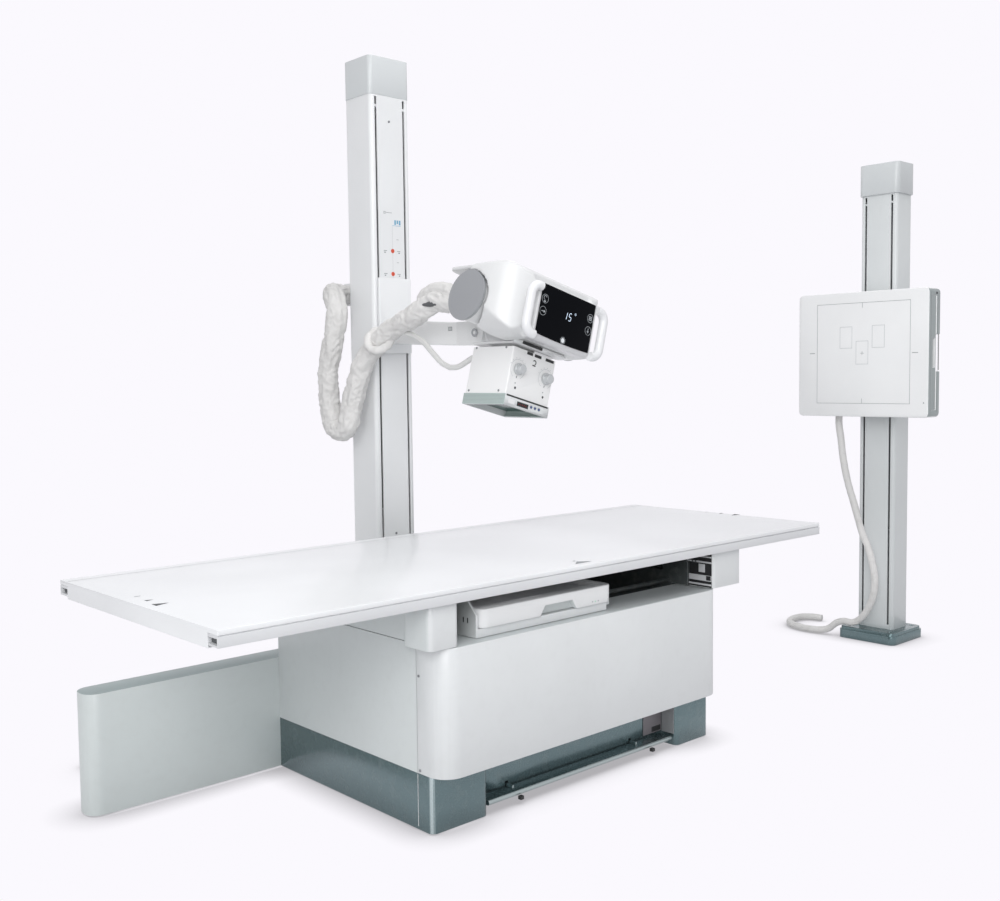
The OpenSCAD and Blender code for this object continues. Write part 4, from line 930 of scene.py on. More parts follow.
@dataclass
class Studio:
    """The camera, the pale floor and the soft lights."""

    eye: tuple[float, float, float] = (-2.3183, -2.5288, 1.1682)
    heading: float = 42.5876
    tilt: float = 3.77372
    roll: float = -0.687
    lens: float = 40.216
    room_colour: tuple[float, float, float, float] = (0.964, 0.947, 0.991, 1.0)
    room_light: float = 0.55
    shadow_reach: float = 0.11
    shadow_depth: float = 0.45

    def build(self) -> None:
        """Makes the camera, the floor, the world and the lamps."""
        self.camera()
        self.floor()
        self.world()
        self.lamps()
        bpy.context.scene.view_settings.view_transform = "Standard"

    def camera(self) -> None:
        """Makes the camera at its place."""
        data = bpy.data.cameras.new("camera")
        data.lens, data.sensor_width = self.lens, 36.0
        data.clip_end = 60.0
        yaw, pitch, roll = (math.radians(a) for a in (self.heading, self.tilt, self.roll))
        ahead = Vector((math.sin(yaw) * math.cos(pitch), math.cos(yaw) * math.cos(pitch),
                        -math.sin(pitch)))
        right = Vector((math.cos(yaw), -math.sin(yaw), 0.0))
        up = right.cross(ahead)
        right, up = (right * math.cos(roll) + up * math.sin(roll),
                     up * math.cos(roll) - right * math.sin(roll))
        cam = bpy.data.objects.new("camera", data)
        cam.matrix_world = Matrix.Translation(self.eye) @ Matrix((right, up, -ahead)).transposed().to_4x4()
        bpy.context.scene.collection.objects.link(cam)
        bpy.context.scene.camera = cam

    def floor(self) -> None:
        """Makes a pale floor, which is as bright as the wall, with a painted soft shadow under what stands on
        it: its emission is dimmed by ambient occlusion.
        """
        bm = bmesh.new()
        bmesh.ops.create_grid(bm, x_segments=1, y_segments=1, size=60.0)
        mesh = bpy.data.meshes.new("floor")
        bm.to_mesh(mesh)
        bm.free()
        made = bpy.data.objects.new("floor", mesh)
        made.location = (0.0, 0.0, -0.0005)
        bpy.context.scene.collection.objects.link(made)
        mat = bpy.data.materials.new("floor")
        mat.use_nodes = True
        nodes, link = mat.node_tree.nodes, mat.node_tree.links.new
        nodes.remove(nodes["Principled BSDF"])
        near = nodes.new("ShaderNodeAmbientOcclusion")
        near.samples = 12
        near.inputs["Distance"].default_value = self.shadow_reach
        shade = nodes.new("ShaderNodeMapRange")
        shade.inputs["From Min"].default_value = 0.35
        shade.inputs["To Min"].default_value = self.shadow_depth
        shown = nodes.new("ShaderNodeEmission")
        shown.inputs["Color"].default_value = self.room_colour
        matt = nodes.new("ShaderNodeBsdfDiffuse")
        matt.inputs["Color"].default_value = (0.72, 0.72, 0.73, 1.0)
        pick = nodes.new("ShaderNodeMixShader")
        link(near.outputs["AO"], shade.inputs["Value"])
        link(shade.outputs["Result"], shown.inputs["Strength"])
        link(self.seen_ray(nodes, link), pick.inputs[0])
        link(matt.outputs[0], pick.inputs[1])
        link(shown.outputs[0], pick.inputs[2])
        link(pick.outputs[0], nodes["Material Output"].inputs["Surface"])
        mesh.materials.append(mat)

    @staticmethod
    def seen_ray(nodes: bpy.types.Nodes, link: Callable) -> bpy.types.NodeSocket:
        """Tells the rays that see the room from those that it lights.

        Args:
            nodes: the nodes of the material or the world.
            link: makes a link between two of them.

        Returns:
            A socket that is 1 for a ray from the camera, a mirror or a glass.
        """
        path = nodes.new("ShaderNodeLightPath")
        found = path.outputs["Is Camera Ray"]
        for kind in ("Is Glossy Ray", "Is Transmission Ray"):
            either = nodes.new("ShaderNodeMath")
            either.operation = "MAXIMUM"
            link(found, either.inputs[0])
            link(path.outputs[kind], either.inputs[1])
            found = either.outputs[0]
        return found

    def world(self) -> None:
        """Makes the even light of the room, and the pale wall that the camera sees."""
        world = bpy.data.worlds.new("room")
        bpy.context.scene.world = world
        world.use_nodes = True
        nodes, link = world.node_tree.nodes, world.node_tree.links.new
        seen = nodes["Background"]
        seen.inputs["Color"].default_value = self.room_colour
        seen.inputs["Strength"].default_value = 1.0
        lit = nodes.new("ShaderNodeBackground")
        lit.inputs["Color"].default_value = (0.97, 0.98, 1.0, 1.0)
        lit.inputs["Strength"].default_value = self.room_light
        pick = nodes.new("ShaderNodeMixShader")
        link(self.seen_ray(nodes, link), pick.inputs[0])
        link(lit.outputs[0], pick.inputs[1])
        link(seen.outputs[0], pick.inputs[2])
        link(pick.outputs[0], nodes["World Output"].inputs["Surface"])

    def lamps(self) -> None:
        """Hangs three soft lamps."""
        for name, place, aim, size, power in (
            ("key_lamp", (-3.9, -3.3, 2.7), (0.0, 0.0, 0.7), 3.0, 124.0),
            ("top_lamp", (1.4, 0.3, 4.8), (0.5, 0.1, 0.6), 3.2, 42.0),
            ("wall_lamp", (-0.6, -1.6, 3.4), (2.1, -0.1, 1.1), 1.8, 22.0),
        ):
            data = bpy.data.lights.new(name, "AREA")
            data.shape, data.size, data.energy = "SQUARE", size, power
            lamp = bpy.data.objects.new(name, data)
            lamp.location = place
            lamp.rotation_euler = (Vector(aim) - Vector(place)).to_track_quat("-Z", "Y").to_euler()
            bpy.context.scene.collection.objects.link(lamp)


# ---------------------------------------------------------------- cables


@dataclass
class Cables:
    """The sleeve round the tube's cables, the collimator's cable and the wall stand's cable."""

    tube_route: tuple[tuple[int, int, int], ...] = (
        (-56, 112, 1405), (-56, 160, 1405), (-56, 213, 1412), (-54, 275, 1394), (-48, 350, 1369),
        (-42, 420, 1350), (-38, 497, 1324), (-38, 544, 1295), (-42, 580, 1269), (-48, 614, 1236),
        (-56, 640, 1188), (-64, 664, 1118), (-69, 678, 1070), (-71, 683, 1036), (-73, 693, 1005),
        (-74, 719, 987), (-75, 751, 987), (-76, 777, 1005), (-77, 787, 1036), (-78, 796, 1090),
        (-78, 802, 1150), (-78, 801, 1200), (-75, 785, 1262), (-71, 768, 1333), (-66, 760, 1390),
        (-60, 776, 1438), (-44, 812, 1466), (-14, 846, 1474), (22, 862, 1474), (60, 862, 1474))
    tie_at: int = 7
    thin_route: tuple[tuple[int, int, int], ...] = (
        (8, 92, 1229), (8, 122, 1229), (6, 155, 1215), (2, 190, 1201), (-2, 225, 1200),
        (-6, 262, 1217), (-12, 300, 1250), (-16, 340, 1284), (-22, 380, 1306), (-32, 425, 1322))
    clip_at: int = 4
    wall_route: tuple[tuple[int, int, int], ...] = (
        (2110, 80, 980), (2110, 80, 940), (2110, 71, 885), (2110, 59, 798), (2110, 37, 697),
        (2110, 2, 590), (2110, -35, 474), (2110, -69, 399), (2110, -94, 305), (2110, -96, 225),
        (2110, -72, 150), (2110, -36, 96), (2110, 5, 70), (2109, 50, 69), (2106, 84, 56),
        (2099, 116, 28), (2088, 150, 18), (2078, 200, 16), (2082, 256, 16), (2108, 315, 16),
        (2160, 356, 16), (2222, 370, 16), (2275, 362, 16), (2305, 330, 16), (2314, 282, 16))
    sleeve_radius: float = 37 * MM
    bunch_route: tuple[tuple[int, int, int], ...] = (
        (-62, 128, 1428), (-60, 170, 1440), (-58, 215, 1444), (-56, 258, 1436), (-54, 290, 1414))
    bunch_radius: float = 25 * MM
    zip_at: tuple[int, int, int] = (-79, 210, 1399)
    zip_size: tuple[int, int, int] = (15, 58, 9)
    knot_at: tuple[int, int, int] = (-54, 530, 1297)
    knot_facing: tuple[float, float, float] = (-0.75, -0.45, 0.48)
    knot_size: float = 40.0
    knot_thick: float = 17.0
    thin_radius: float = 9 * MM
    wall_radius: float = 15 * MM
    broad_from: float = 30 * MM
    sleeve_fold: float = 0.52
    bunch_fold: float = 0.42
    thin_fold: float = 0.1
    wall_fold: float = 0.16

    def sleeve(self, name: str, route: Sequence[tuple[int, int, int]], radius: float, finish: Finish,
               fold: float, seed: float) -> tuple[bpy.types.Object, list[Vector]]:
        """Makes a wrinkled sleeve along a route.

        Args:
            name: the piece's name.
            route: its points, in millimetres.
            radius: its outer radius.
            finish: its finish.
            fold: how deep its wrinkles are, as a share of its radius.
            seed: moves its wrinkles along.

        Returns:
            The sleeve and the line that it follows.
        """
        broad = radius > self.broad_from
        line = smooth_line([Vector(p) * MM for p in route], radius * (0.1 if broad else 0.16))
        step = length_of(line) / (len(line) - 1) / radius

        def wrinkled(i: int, a: float) -> float:
            """The sleeve's radius at a ring and an angle.

            Args:
                i: which ring it is along the line.
                a: the angle round the line, in radians.

            Returns:
                The radius, in metres.
            """
            s = i * step
            around = Vector((math.cos(a), math.sin(a), 0.0))
            pleat = 1.0 - 2.4 * abs(noise.noise(Vector((around.x * 1.4, around.y * 1.4, s * 0.16 + seed))))
            bend = s * 0.8 + 1.3 * noise.noise(Vector((around.x, around.y, s * 0.3 + seed + 9.0)))
            cross = 1.0 - 2.6 * abs(noise.noise(Vector((around.x * 0.8, around.y * 0.8, bend + seed + 31.0))))
            crease = 1.0 - 2.2 * abs(noise.noise(Vector((around.x * 2.0, around.y * 2.0, s * 1.8 + seed))))
            depth = 0.42 * pleat + 0.33 * cross + 0.33 * crease
            return radius * (1.0 - fold * (0.34 - 0.5 * depth))

        made = from_bmesh(name, tube(line, wrinkled, 64 if broad else 40), finish)
        return made, line

    def declare(self, made: bpy.types.Object, line: list[Vector],
                nodes: str) -> None:
        """Hides the CAD node that a piece stands in for, and logs the piece's length.

        Args:
            made: the piece.
            line: the line that it follows.
            nodes: the CAD node that it replaces.
        """
        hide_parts(nodes)
        LOG.info("cord %s is %.3f m long", made.name, length_of(line))

    def on_sleeve(self) -> list[bpy.types.Object]:
        """Makes the spare cloth, the zip's opening and the knotted tie that are on the sleeve.

        Returns:
            The pieces.
        """
        bunch, _ = self.sleeve("sleeve_bunch", self.bunch_route, self.bunch_radius, SLEEVE_FINISH,
                               self.bunch_fold, 61.0)
        bm = bmesh.new()
        bmesh.ops.create_uvsphere(bm, u_segments=32, v_segments=16, radius=1.0)
        for v in bm.verts:
            v.co = Vector(c * size + at for c, size, at in zip(v.co, self.zip_size, self.zip_at)) * MM
        return [bunch, from_bmesh("sleeve_zip", bm, CHANNEL_DARK), self.knot()]

    def knot(self, turns: int = 48, sides: int = 16) -> bpy.types.Object:
        """Makes the crumpled ring of cloth at the tie.

        Args:
            turns: how many slices it has round the ring.
            sides: how many sides each slice has.

        Returns:
            The ring.
        """
        facing = Vector(self.knot_facing).normalized()
        side = facing.orthogonal().normalized()
        other = facing.cross(side)
        middle = Vector(self.knot_at) * MM
        bm = bmesh.new()
        rings = []
        for k in range(turns):
            a = 2 * math.pi * k / turns
            out = side * math.cos(a) + other * math.sin(a)
            ring = []
            for j in range(sides):
                b = 2 * math.pi * j / sides
                spot = Vector((out.x * 2.6, out.y * 2.6, out.z * 2.6 + b * 0.4))
                thick = self.knot_thick * (0.95 - 0.55 * abs(noise.noise(spot)))
                ring.append(bm.verts.new(middle + out * (self.knot_size * MM)
                                         + (out * math.cos(b) + facing * math.sin(b)) * thick * MM))
            rings.append(ring)
        for one, two in zip(rings, rings[1:] + rings[:1]):
            for j in range(sides):
                i = (j + 1) % sides
                bm.faces.new((one[j], two[j], two[i], one[i]))
        bmesh.ops.recalc_face_normals(bm, faces=bm.faces)
        return from_bmesh("sleeve_knot", bm, SLEEVE_FINISH)

    def build(self) -> None:
        """Makes every cable."""
        parts = (("sleeve_to_head", self.tube_route[:self.tie_at + 1], "head", "arm"),
                 ("sleeve_to_column", self.tube_route[self.tie_at:], "arm", "column"))
        for k, (name, route, near, far) in enumerate(parts):
            made, line = self.sleeve(name, route, self.sleeve_radius, SLEEVE_FINISH,
                                     self.sleeve_fold, 3.0 + 17 * k)
            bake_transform(made)
            also = self.on_sleeve() if near == "head" else []
            for one in also:
                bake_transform(one)
            self.declare(made, line, "tube_cable")
        parts = (("collimator_lead", self.thin_route[:self.clip_at + 1], "collimator", "head"),
                 ("collimator_lead_to_arm", self.thin_route[self.clip_at:], "head", "arm"))
        for k, (name, route, near, far) in enumerate(parts):
            made, line = self.sleeve(name, route, self.thin_radius, CABLE_FINISH,
                                     self.thin_fold, 51.0 + 9 * k)
            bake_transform(made)
            self.declare(made, line, "collimator_cable")
        made, line = self.sleeve("wall_lead", self.wall_route, self.wall_radius, SLEEVE_FINISH,
                                 self.wall_fold, 80.0)
        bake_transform(made)
        self.declare(made, line, "wall_cable")


# ---------------------------------------------------------------- table


@dataclass
class Table:
    """The table: its base, covers, top and tray."""

    top_z: float = 645 * MM
    side_x: float = -575 * MM
    seam_y: float = -305 * MM
    tray_front: float = -385 * MM
    recess_top: float = 541 * MM
    recess_left: float = -204 * MM
    recess_right: float = -58 * MM
    plate_x: float = -433 * MM
    # The skirt's painted corner highlight: how far along the corner it reaches, the facing that shines most,
    # and the spreads of its sheen and glint.
    corner_reach: float = 70 * MM
    shine_turn: float = 38.0
    sheen_spread: float = 24.0
    glint_spread: float = 11.0

    def build(self) -> None:
        """Dresses the table's nodes and adds what is fixed to them."""
        self.panels()
        self.top_marks()
        self.seam()
        self.tray_details()
        self.mechanism()
        # The lift shroud's near-black paint stands for both a dark shroud and the shade deep under the
        # tabletop; the steel bucky rails are painted near black as painted shade, so that they sink into it.
        for node, finish in (
            ("base_frame", BRUSHED_STEEL), ("control_box", SIDE_PAINT), ("actuator_bodies", SIDE_PAINT),
            ("travel_rails", BRUSHED_STEEL), ("lift_shroud", DARK_PAINT), ("actuator_rods", BRUSHED_STEEL),
            ("bucky_rails", DARK_PAINT), ("float_carriage", BRUSHED_STEEL), ("detector", TRAY_LID),
        ):
            painted(node, finish)

    def panels(self) -> None:
        """Dresses the nodes that show."""
        for node, finish, width in (
            ("front_panel", WHITE_PAINT, 1.4),
            # The side and rear panels take the darker side paint: painted shade on the faces turned from the
            # light.
            ("left_panel", SIDE_PAINT, 0.6), ("right_panel", SIDE_PAINT, 0.6),
            ("rear_panel", SIDE_PAINT, 0.6), ("deck", DECK_PAINT, 0.6),
            ("tabletop", LAMINATE, 1.5),
            ("front_rail", RAIL_FINISH, 0.8), ("rear_rail", RAIL_FINISH, 0.8),
        ):
            dressed(node, finish, width * MM)
        dressed("bucky_carriage", WHITE_PAINT, 1.0 * MM, also=[
            (BRACKET_LIGHT, lambda c, n: n.x < -0.8 and c.x < self.plate_x + 0.002)])
        dressed("foot_tread", SLATE_PAINT, 1.5 * MM, also=[(TREAD_EDGE, lambda c, n: n.y < -0.3)])
        # The skirt's rounded front-left corner gets a painted highlight: sheen and glint finishes on the
        # facets that face the light.
        dressed("skirt", SLATE_PAINT, 1.5 * MM, also=[
            (SLATE_SHEEN, lambda c, n: self.corner_light(c, n) < self.sheen_spread),
            (SLATE_GLINT, lambda c, n: self.corner_light(c, n) < self.glint_spread)])
        # Its top faces get a darker copy of its paint: painted shade.
        dressed("rail_housing", HOUSING_PAINT, 2.5 * MM, also=[(HOUSING_TOP_SHADE, lambda c, n: n.z > 0.8)])
        # The covers' side faces get the darker side paint: painted shade.
        for node in ("left_cover", "right_cover"):
            dressed(node, WHITE_PAINT, 1.2 * MM, also=[(SIDE_PAINT, lambda c, n: abs(n.x) > 0.85)])
        dressed("lift_frame", DARK_PAINT, 1.0 * MM, also=[
            (BRACKET_PAINT, lambda c, n: c.y < -0.21 and c.z > 0.49 and n.x < -0.5)])
        # The tray's grip recess gets the darker side paint: painted shade in the recess.
        dressed("tray", WHITE_COVER, 3.0 * MM, also=[
            (SIDE_PAINT, lambda c, n: self.recess_left - 0.004 < c.x < self.recess_right + 0.004
             and c.z < self.recess_top + 0.002 and self.tray_front + 0.004 < c.y < self.tray_front + 0.03)])

    def corner_light(self, centre: Vector, normal: Vector) -> float:
        """How far a face on the base's left front corner is turned from the one that shines most.

        Args:
            centre: the face's middle.
            normal: the face's direction.

        Returns:
            The turn in degrees, or 180 for a face that isn't on the corner.
        """
        if centre.x > self.side_x + self.corner_reach or centre.y > self.seam_y or abs(normal.z) > 0.3:
            return 180.0
        return math.degrees(abs(math.atan2(-normal.y, -normal.x) - math.radians(self.shine_turn)))

    def top_marks(self) -> None:
        """Lays the centre marks and the edge line on the tabletop."""
        face = Face(Vector((0.0, 0.0, self.top_z)), Vector((1, 0, 0)), Vector((0, 1, 0)),
                    body_of("tabletop"))
        marks = Marks(face, 0.0004)
        marks.bar(LINE_PRINT, -1.190, 0.381, 1.126, 0.3835)
        for x, way in ((-1.150, 1), (1.119, -1)):
            marks.bar(GREY_PRINT, x - 0.008, 0.052, x + 0.008, 0.056)
            for y, size in ((-0.012, 0.010), (-0.075, 0.019)):
                marks.shape(DARK_PRINT, [(x - size * way, y - 0.7 * size * way),
                                         (x + size * way, y), (x - size * way, y + 0.7 * size * way)])
        marks.shape(GREY_PRINT, [(-0.080, -0.398), (-0.010, -0.398), (-0.045, -0.370)])
        marks.bar(GREY_PRINT, -0.050, -0.364, -0.040, -0.356)
        marks.finish("top_mark")

    def seam(self) -> None:
        """Draws the seam down the base's left and right sides, with a painted highlight along it on the
        skirt, and its screws.
        """
        for side in (-1, 1):
            x = side * (abs(self.side_x) + 0.0004)
            face = Face(Vector((x, self.seam_y, 0.0)), Vector((0, side, 0)), Vector((0, 0, 1)), "root")
            marks = Marks(face, 0.0)
            # Below, a light strip down the skirt: a painted highlight on the seam's edge; above, a grey seam
            # line on the panel.
            for low, high, finish in ((0.012, 0.150, LABEL_FINISH), (0.153, 0.488, LINE_PRINT)):
                marks.bar(finish, -0.0010, low, 0.0010, high)
            marks.finish(f"seam_{'left' if side < 0 else 'right'}")
            places = [(Vector((x, self.seam_y - 0.010, z)), Vector((side, 0.0, 0.0)))
                      for z in (0.161, 0.408)]
            screws(f"seam_screws_{'left' if side < 0 else 'right'}", places, 0.0035, "root", DARK_ZINC, 4)

    def tray_details(self) -> None:
        """Puts the indicator lamps on the tray."""
        face = Face(Vector((0.0, self.tray_front, 0.0)), Vector((1, 0, 0)), Vector((0, 0, 1)),
                    body_of("tray"))
        marks = Marks(face, 0.0004)
        for k, finish in enumerate((GREY_PRINT, GREEN_LAMP, GREY_PRINT)):
            marks.ring(finish, (3 + 12 * k) * MM, 525 * MM, 1.8 * MM, steps=14)
        marks.finish("tray_lamp")

    def mechanism(self) -> None:
        """Adds the float's lock rail, the slots and holes of the brackets drawn dark as painted shade, and
        the feet under the tabletop's ends.
        """
        lift, top = body_of("lift_frame"), body_of("tabletop")
        # A black sheet behind the lock rail: painted shade of the mechanism's inside.
        plates("lock_backing", [((538.4, -402, 493), (539.6, -299, 603))], BLACK_PLASTIC, lift, 0.0002)
        plates("lock_rail", [((536, -402, 570), (538.3, -300, 575)), ((535, -402, 513), (538.3, -300, 531)),
                             ((535, -377, 540), (538.3, -354, 566)), ((535, -402, 588), (538.3, -340, 592)),
                             ((534, -402, 499), (538.3, -300, 504))],
               RAIL_FINISH, lift)
        # A dark patch on the rail's front: painted shade in its notch.
        plates("lock_notch", [((534.2, -402, 516), (534.9, -384, 530))], BLACK_PLASTIC, lift, 0.0001)
        places = [(Vector((536 * MM, y * MM, 572.5 * MM)), Vector((-1, 0, 0))) for y in (-330, -342)]
        screws("lock_screws", places, 0.003, lift, DARK_ZINC, 7)
        face = Face(Vector((521.6 * MM, 0.0, 0.0)), Vector((0, -1, 0)), Vector((0, 0, 1)), lift)
        marks = Marks(face, 0.0003)
        # The bracket's hole and its two small holes are drawn dark: painted shade inside them.
        marks.ring(DARK_PRINT, 0.272, 0.556, 0.0095, 0.0055, start=35.0, turn=290.0, steps=24)
        for y in (0.288, 0.300):
            marks.ring(DARK_PRINT, y, 0.555, 0.0028, steps=12)
        marks.finish("bracket_hole")
        face = Face(Vector((self.plate_x, 0.0, 0.0)), Vector((0, -1, 0)), Vector((0, 0, 1)),
                    body_of("bucky_carriage"))
        marks = Marks(face, 0.0004)
        # The end plate's slots are drawn as black bars: painted shade inside them.
        for y in (0.328, 0.345):
            marks.bar(BLACK_PLASTIC, y - 0.002, 0.527, y + 0.002, 0.541)
        marks.finish("plate_slot")
        blocks = []
        for x0 in (-1192, 1104):
            for y0 in (-384, 340):
                blocks.append(((x0, y0, 603), (x0 + 24, y0 + 44, 606)))
        plates("end_feet", blocks, DARK_ZINC, top, 0.0008)
        self.channel_plugs()
        self.kick_details()

    def kick_details(self) -> None:
        """Adds the cable plate in the foot recess and the stops under the tread."""
        tread = body_of("foot_tread")
        plates("tread_stops", [((x, -362, 12), (x + 12, -350, 22)) for x in (-264, 295)],
               BLACK_PLASTIC, tread)
        plates("recess_plate", [((322, -302.5, 42), (409, -300.4, 138))], RECESS_PLATE, "root", 0.0004)
        # A black bar as the cable plate's slot: painted shade inside it.
        plates("recess_slot", [((362, -303.4, 46), (404, -302.6, 62))], BLACK_PLASTIC, "root", 0.0002)
        plates("recess_side", [((409.2, -352, 40), (410.8, -304, 142))], RECESS_SIDE, "root", 0.0003)

    def channel_plugs(self) -> None:
        """Closes the edge rails' channels with dark plugs a little inside their ends, as painted shade inside
        the channels.
        """
        low, high = own_box("front_rail", Matrix())
        wall, depth, tall = 6 * MM, 43 * MM, 0.5 * (low.z + high.z)
        for node, side in (("front_rail", 1), ("rear_rail", -1)):
            low, high = own_box(node, Matrix())
            outer = low.y if side > 0 else high.y
            near, far = sorted((outer + side * wall, outer + side * depth))
            blocks = [tuple(tuple(v / MM for v in p) for p in
                            ((x, near, tall - 8 * MM), (x + 3 * MM, far, tall + 6 * MM)))
                      for x in (low.x + 9 * MM, high.x - 12 * MM)]
            plates(f"channel_plug_{node.split('_')[0]}", blocks, CHANNEL_DARK, body_of(node), 0.0002)


# ---------------------------------------------------------------- tube column


@dataclass
class TubeColumn:
    """The tube column with its trolley, carriage and arm."""

    middle: float = 92 * MM
    front: float = 642 * MM
    slot: float = 60 * MM

    def build(self) -> None:
        """Dresses the column's nodes and prints its scale."""
        for node, finish, width in (
            ("column", COLUMN_PAINT, 1.2), ("column_cap", COLUMN_CAP_PAINT, 2.0),
            ("slide_carriage", COLUMN_PAINT, 1.0), ("arm", WHITE_COVER, 5.0),
            ("arm_knuckle", WHITE_COVER, 2.0), ("column_trolley", SLATE_PAINT, 1.0),
        ):
            dressed(node, finish, width * MM)
        for node, finish in (
            ("wheelset_left", BRUSHED_STEEL), ("wheelset_right", BRUSHED_STEEL),
            ("counterweight", WEIGHT_IRON), ("top_pulley", BRUSHED_STEEL), ("hoist_rope", BRUSHED_STEEL),
        ):
            painted(node, finish)
        self.scale()
        self.arm_details()

    def scale(self) -> None:
        """Prints the height scale on the column's front and sets its screws."""
        body = body_of("column")
        low, _ = own_box("column", Matrix())
        face = Face(Vector((self.middle, low.y, 0.0)), Vector((1, 0, 0)), Vector((0, 0, 1)), body)
        marks = Marks(face, 0.0004)
        marks.bar(LINE_PRINT, 0.0022, 1.270, 0.0032, 1.700)
        marks.frame(GREY_PRINT, -0.034, 1.742, -0.026, 1.750, 0.0015)
        marks.bar(GREY_PRINT, -0.024, 1.7455, 0.002, 1.7470)
        for k in range(3):
            marks.bar(BLUE_PRINT, 0.012 + 0.010 * k, 1.706 + 0.004 * (k % 2), 0.019 + 0.010 * k, 1.722)
        marks.bar(BLUE_PRINT, 0.003, 1.702, 0.040, 1.7032)
        for z in (1.614, 1.534):
            marks.ring(RED_PRINT, 0.0028, z, 0.0075, steps=20)
            for side in (-1, 1):
                marks.bar(GREY_PRINT, min(side * 0.022, side * 0.036), z - 0.001,
                          max(side * 0.022, side * 0.036), z + 0.001)
                marks.bar(GREY_PRINT, min(side * 0.028, side * 0.034), z - 0.008,
                          max(side * 0.028, side * 0.034), z - 0.004)
        for z in (1.574, 1.494, 1.454, 1.654):
            marks.bar(GREY_PRINT, 0.020, z, 0.030, z + 0.0012)
        marks.finish("column_scale")
        ahead = Vector((0, -1, 0))
        screws("column_screws", [(Vector((self.middle - 0.004, low.y, 0.616)), ahead),
                                 (Vector((self.middle - 0.004, low.y, 2.060)), ahead)],
               0.0042, body, DARK_ZINC, 3)

    def arm_details(self) -> None:
        """Adds the arm's sensor window and its pivot cap."""
        body = body_of("arm")
        low, _ = own_box("arm_knuckle", Matrix())
        side = Matrix.Translation((low.x, 159.5 * MM, 1310 * MM)) @ Matrix.Rotation(-math.pi / 2, 4, "Y")
        turned("pivot_cap", side, [(0.0, -0.002), (0.0055, -0.002), (0.007, 0.0012), (0.0125, 0.0012),
                                   (0.0135, 0.0004), (0.0135, -0.001), (0.0, -0.001)], DISC_FINISH, body)
        box_low, _ = own_box("arm", Matrix())
        face = Face(Vector((box_low.x, 286 * MM, 1327 * MM)), Vector((0, -1, 0)), Vector((0, 0, 1)), body)
        marks = Marks(face, 0.0004)
        marks.frame(GREY_PRINT, -0.010, -0.0065, 0.010, 0.0065, 0.0022)
        marks.bar(LINE_PRINT, -0.0078, -0.0043, 0.0078, 0.0043)
        marks.finish("arm_window")


# ---------------------------------------------------------------- tube head


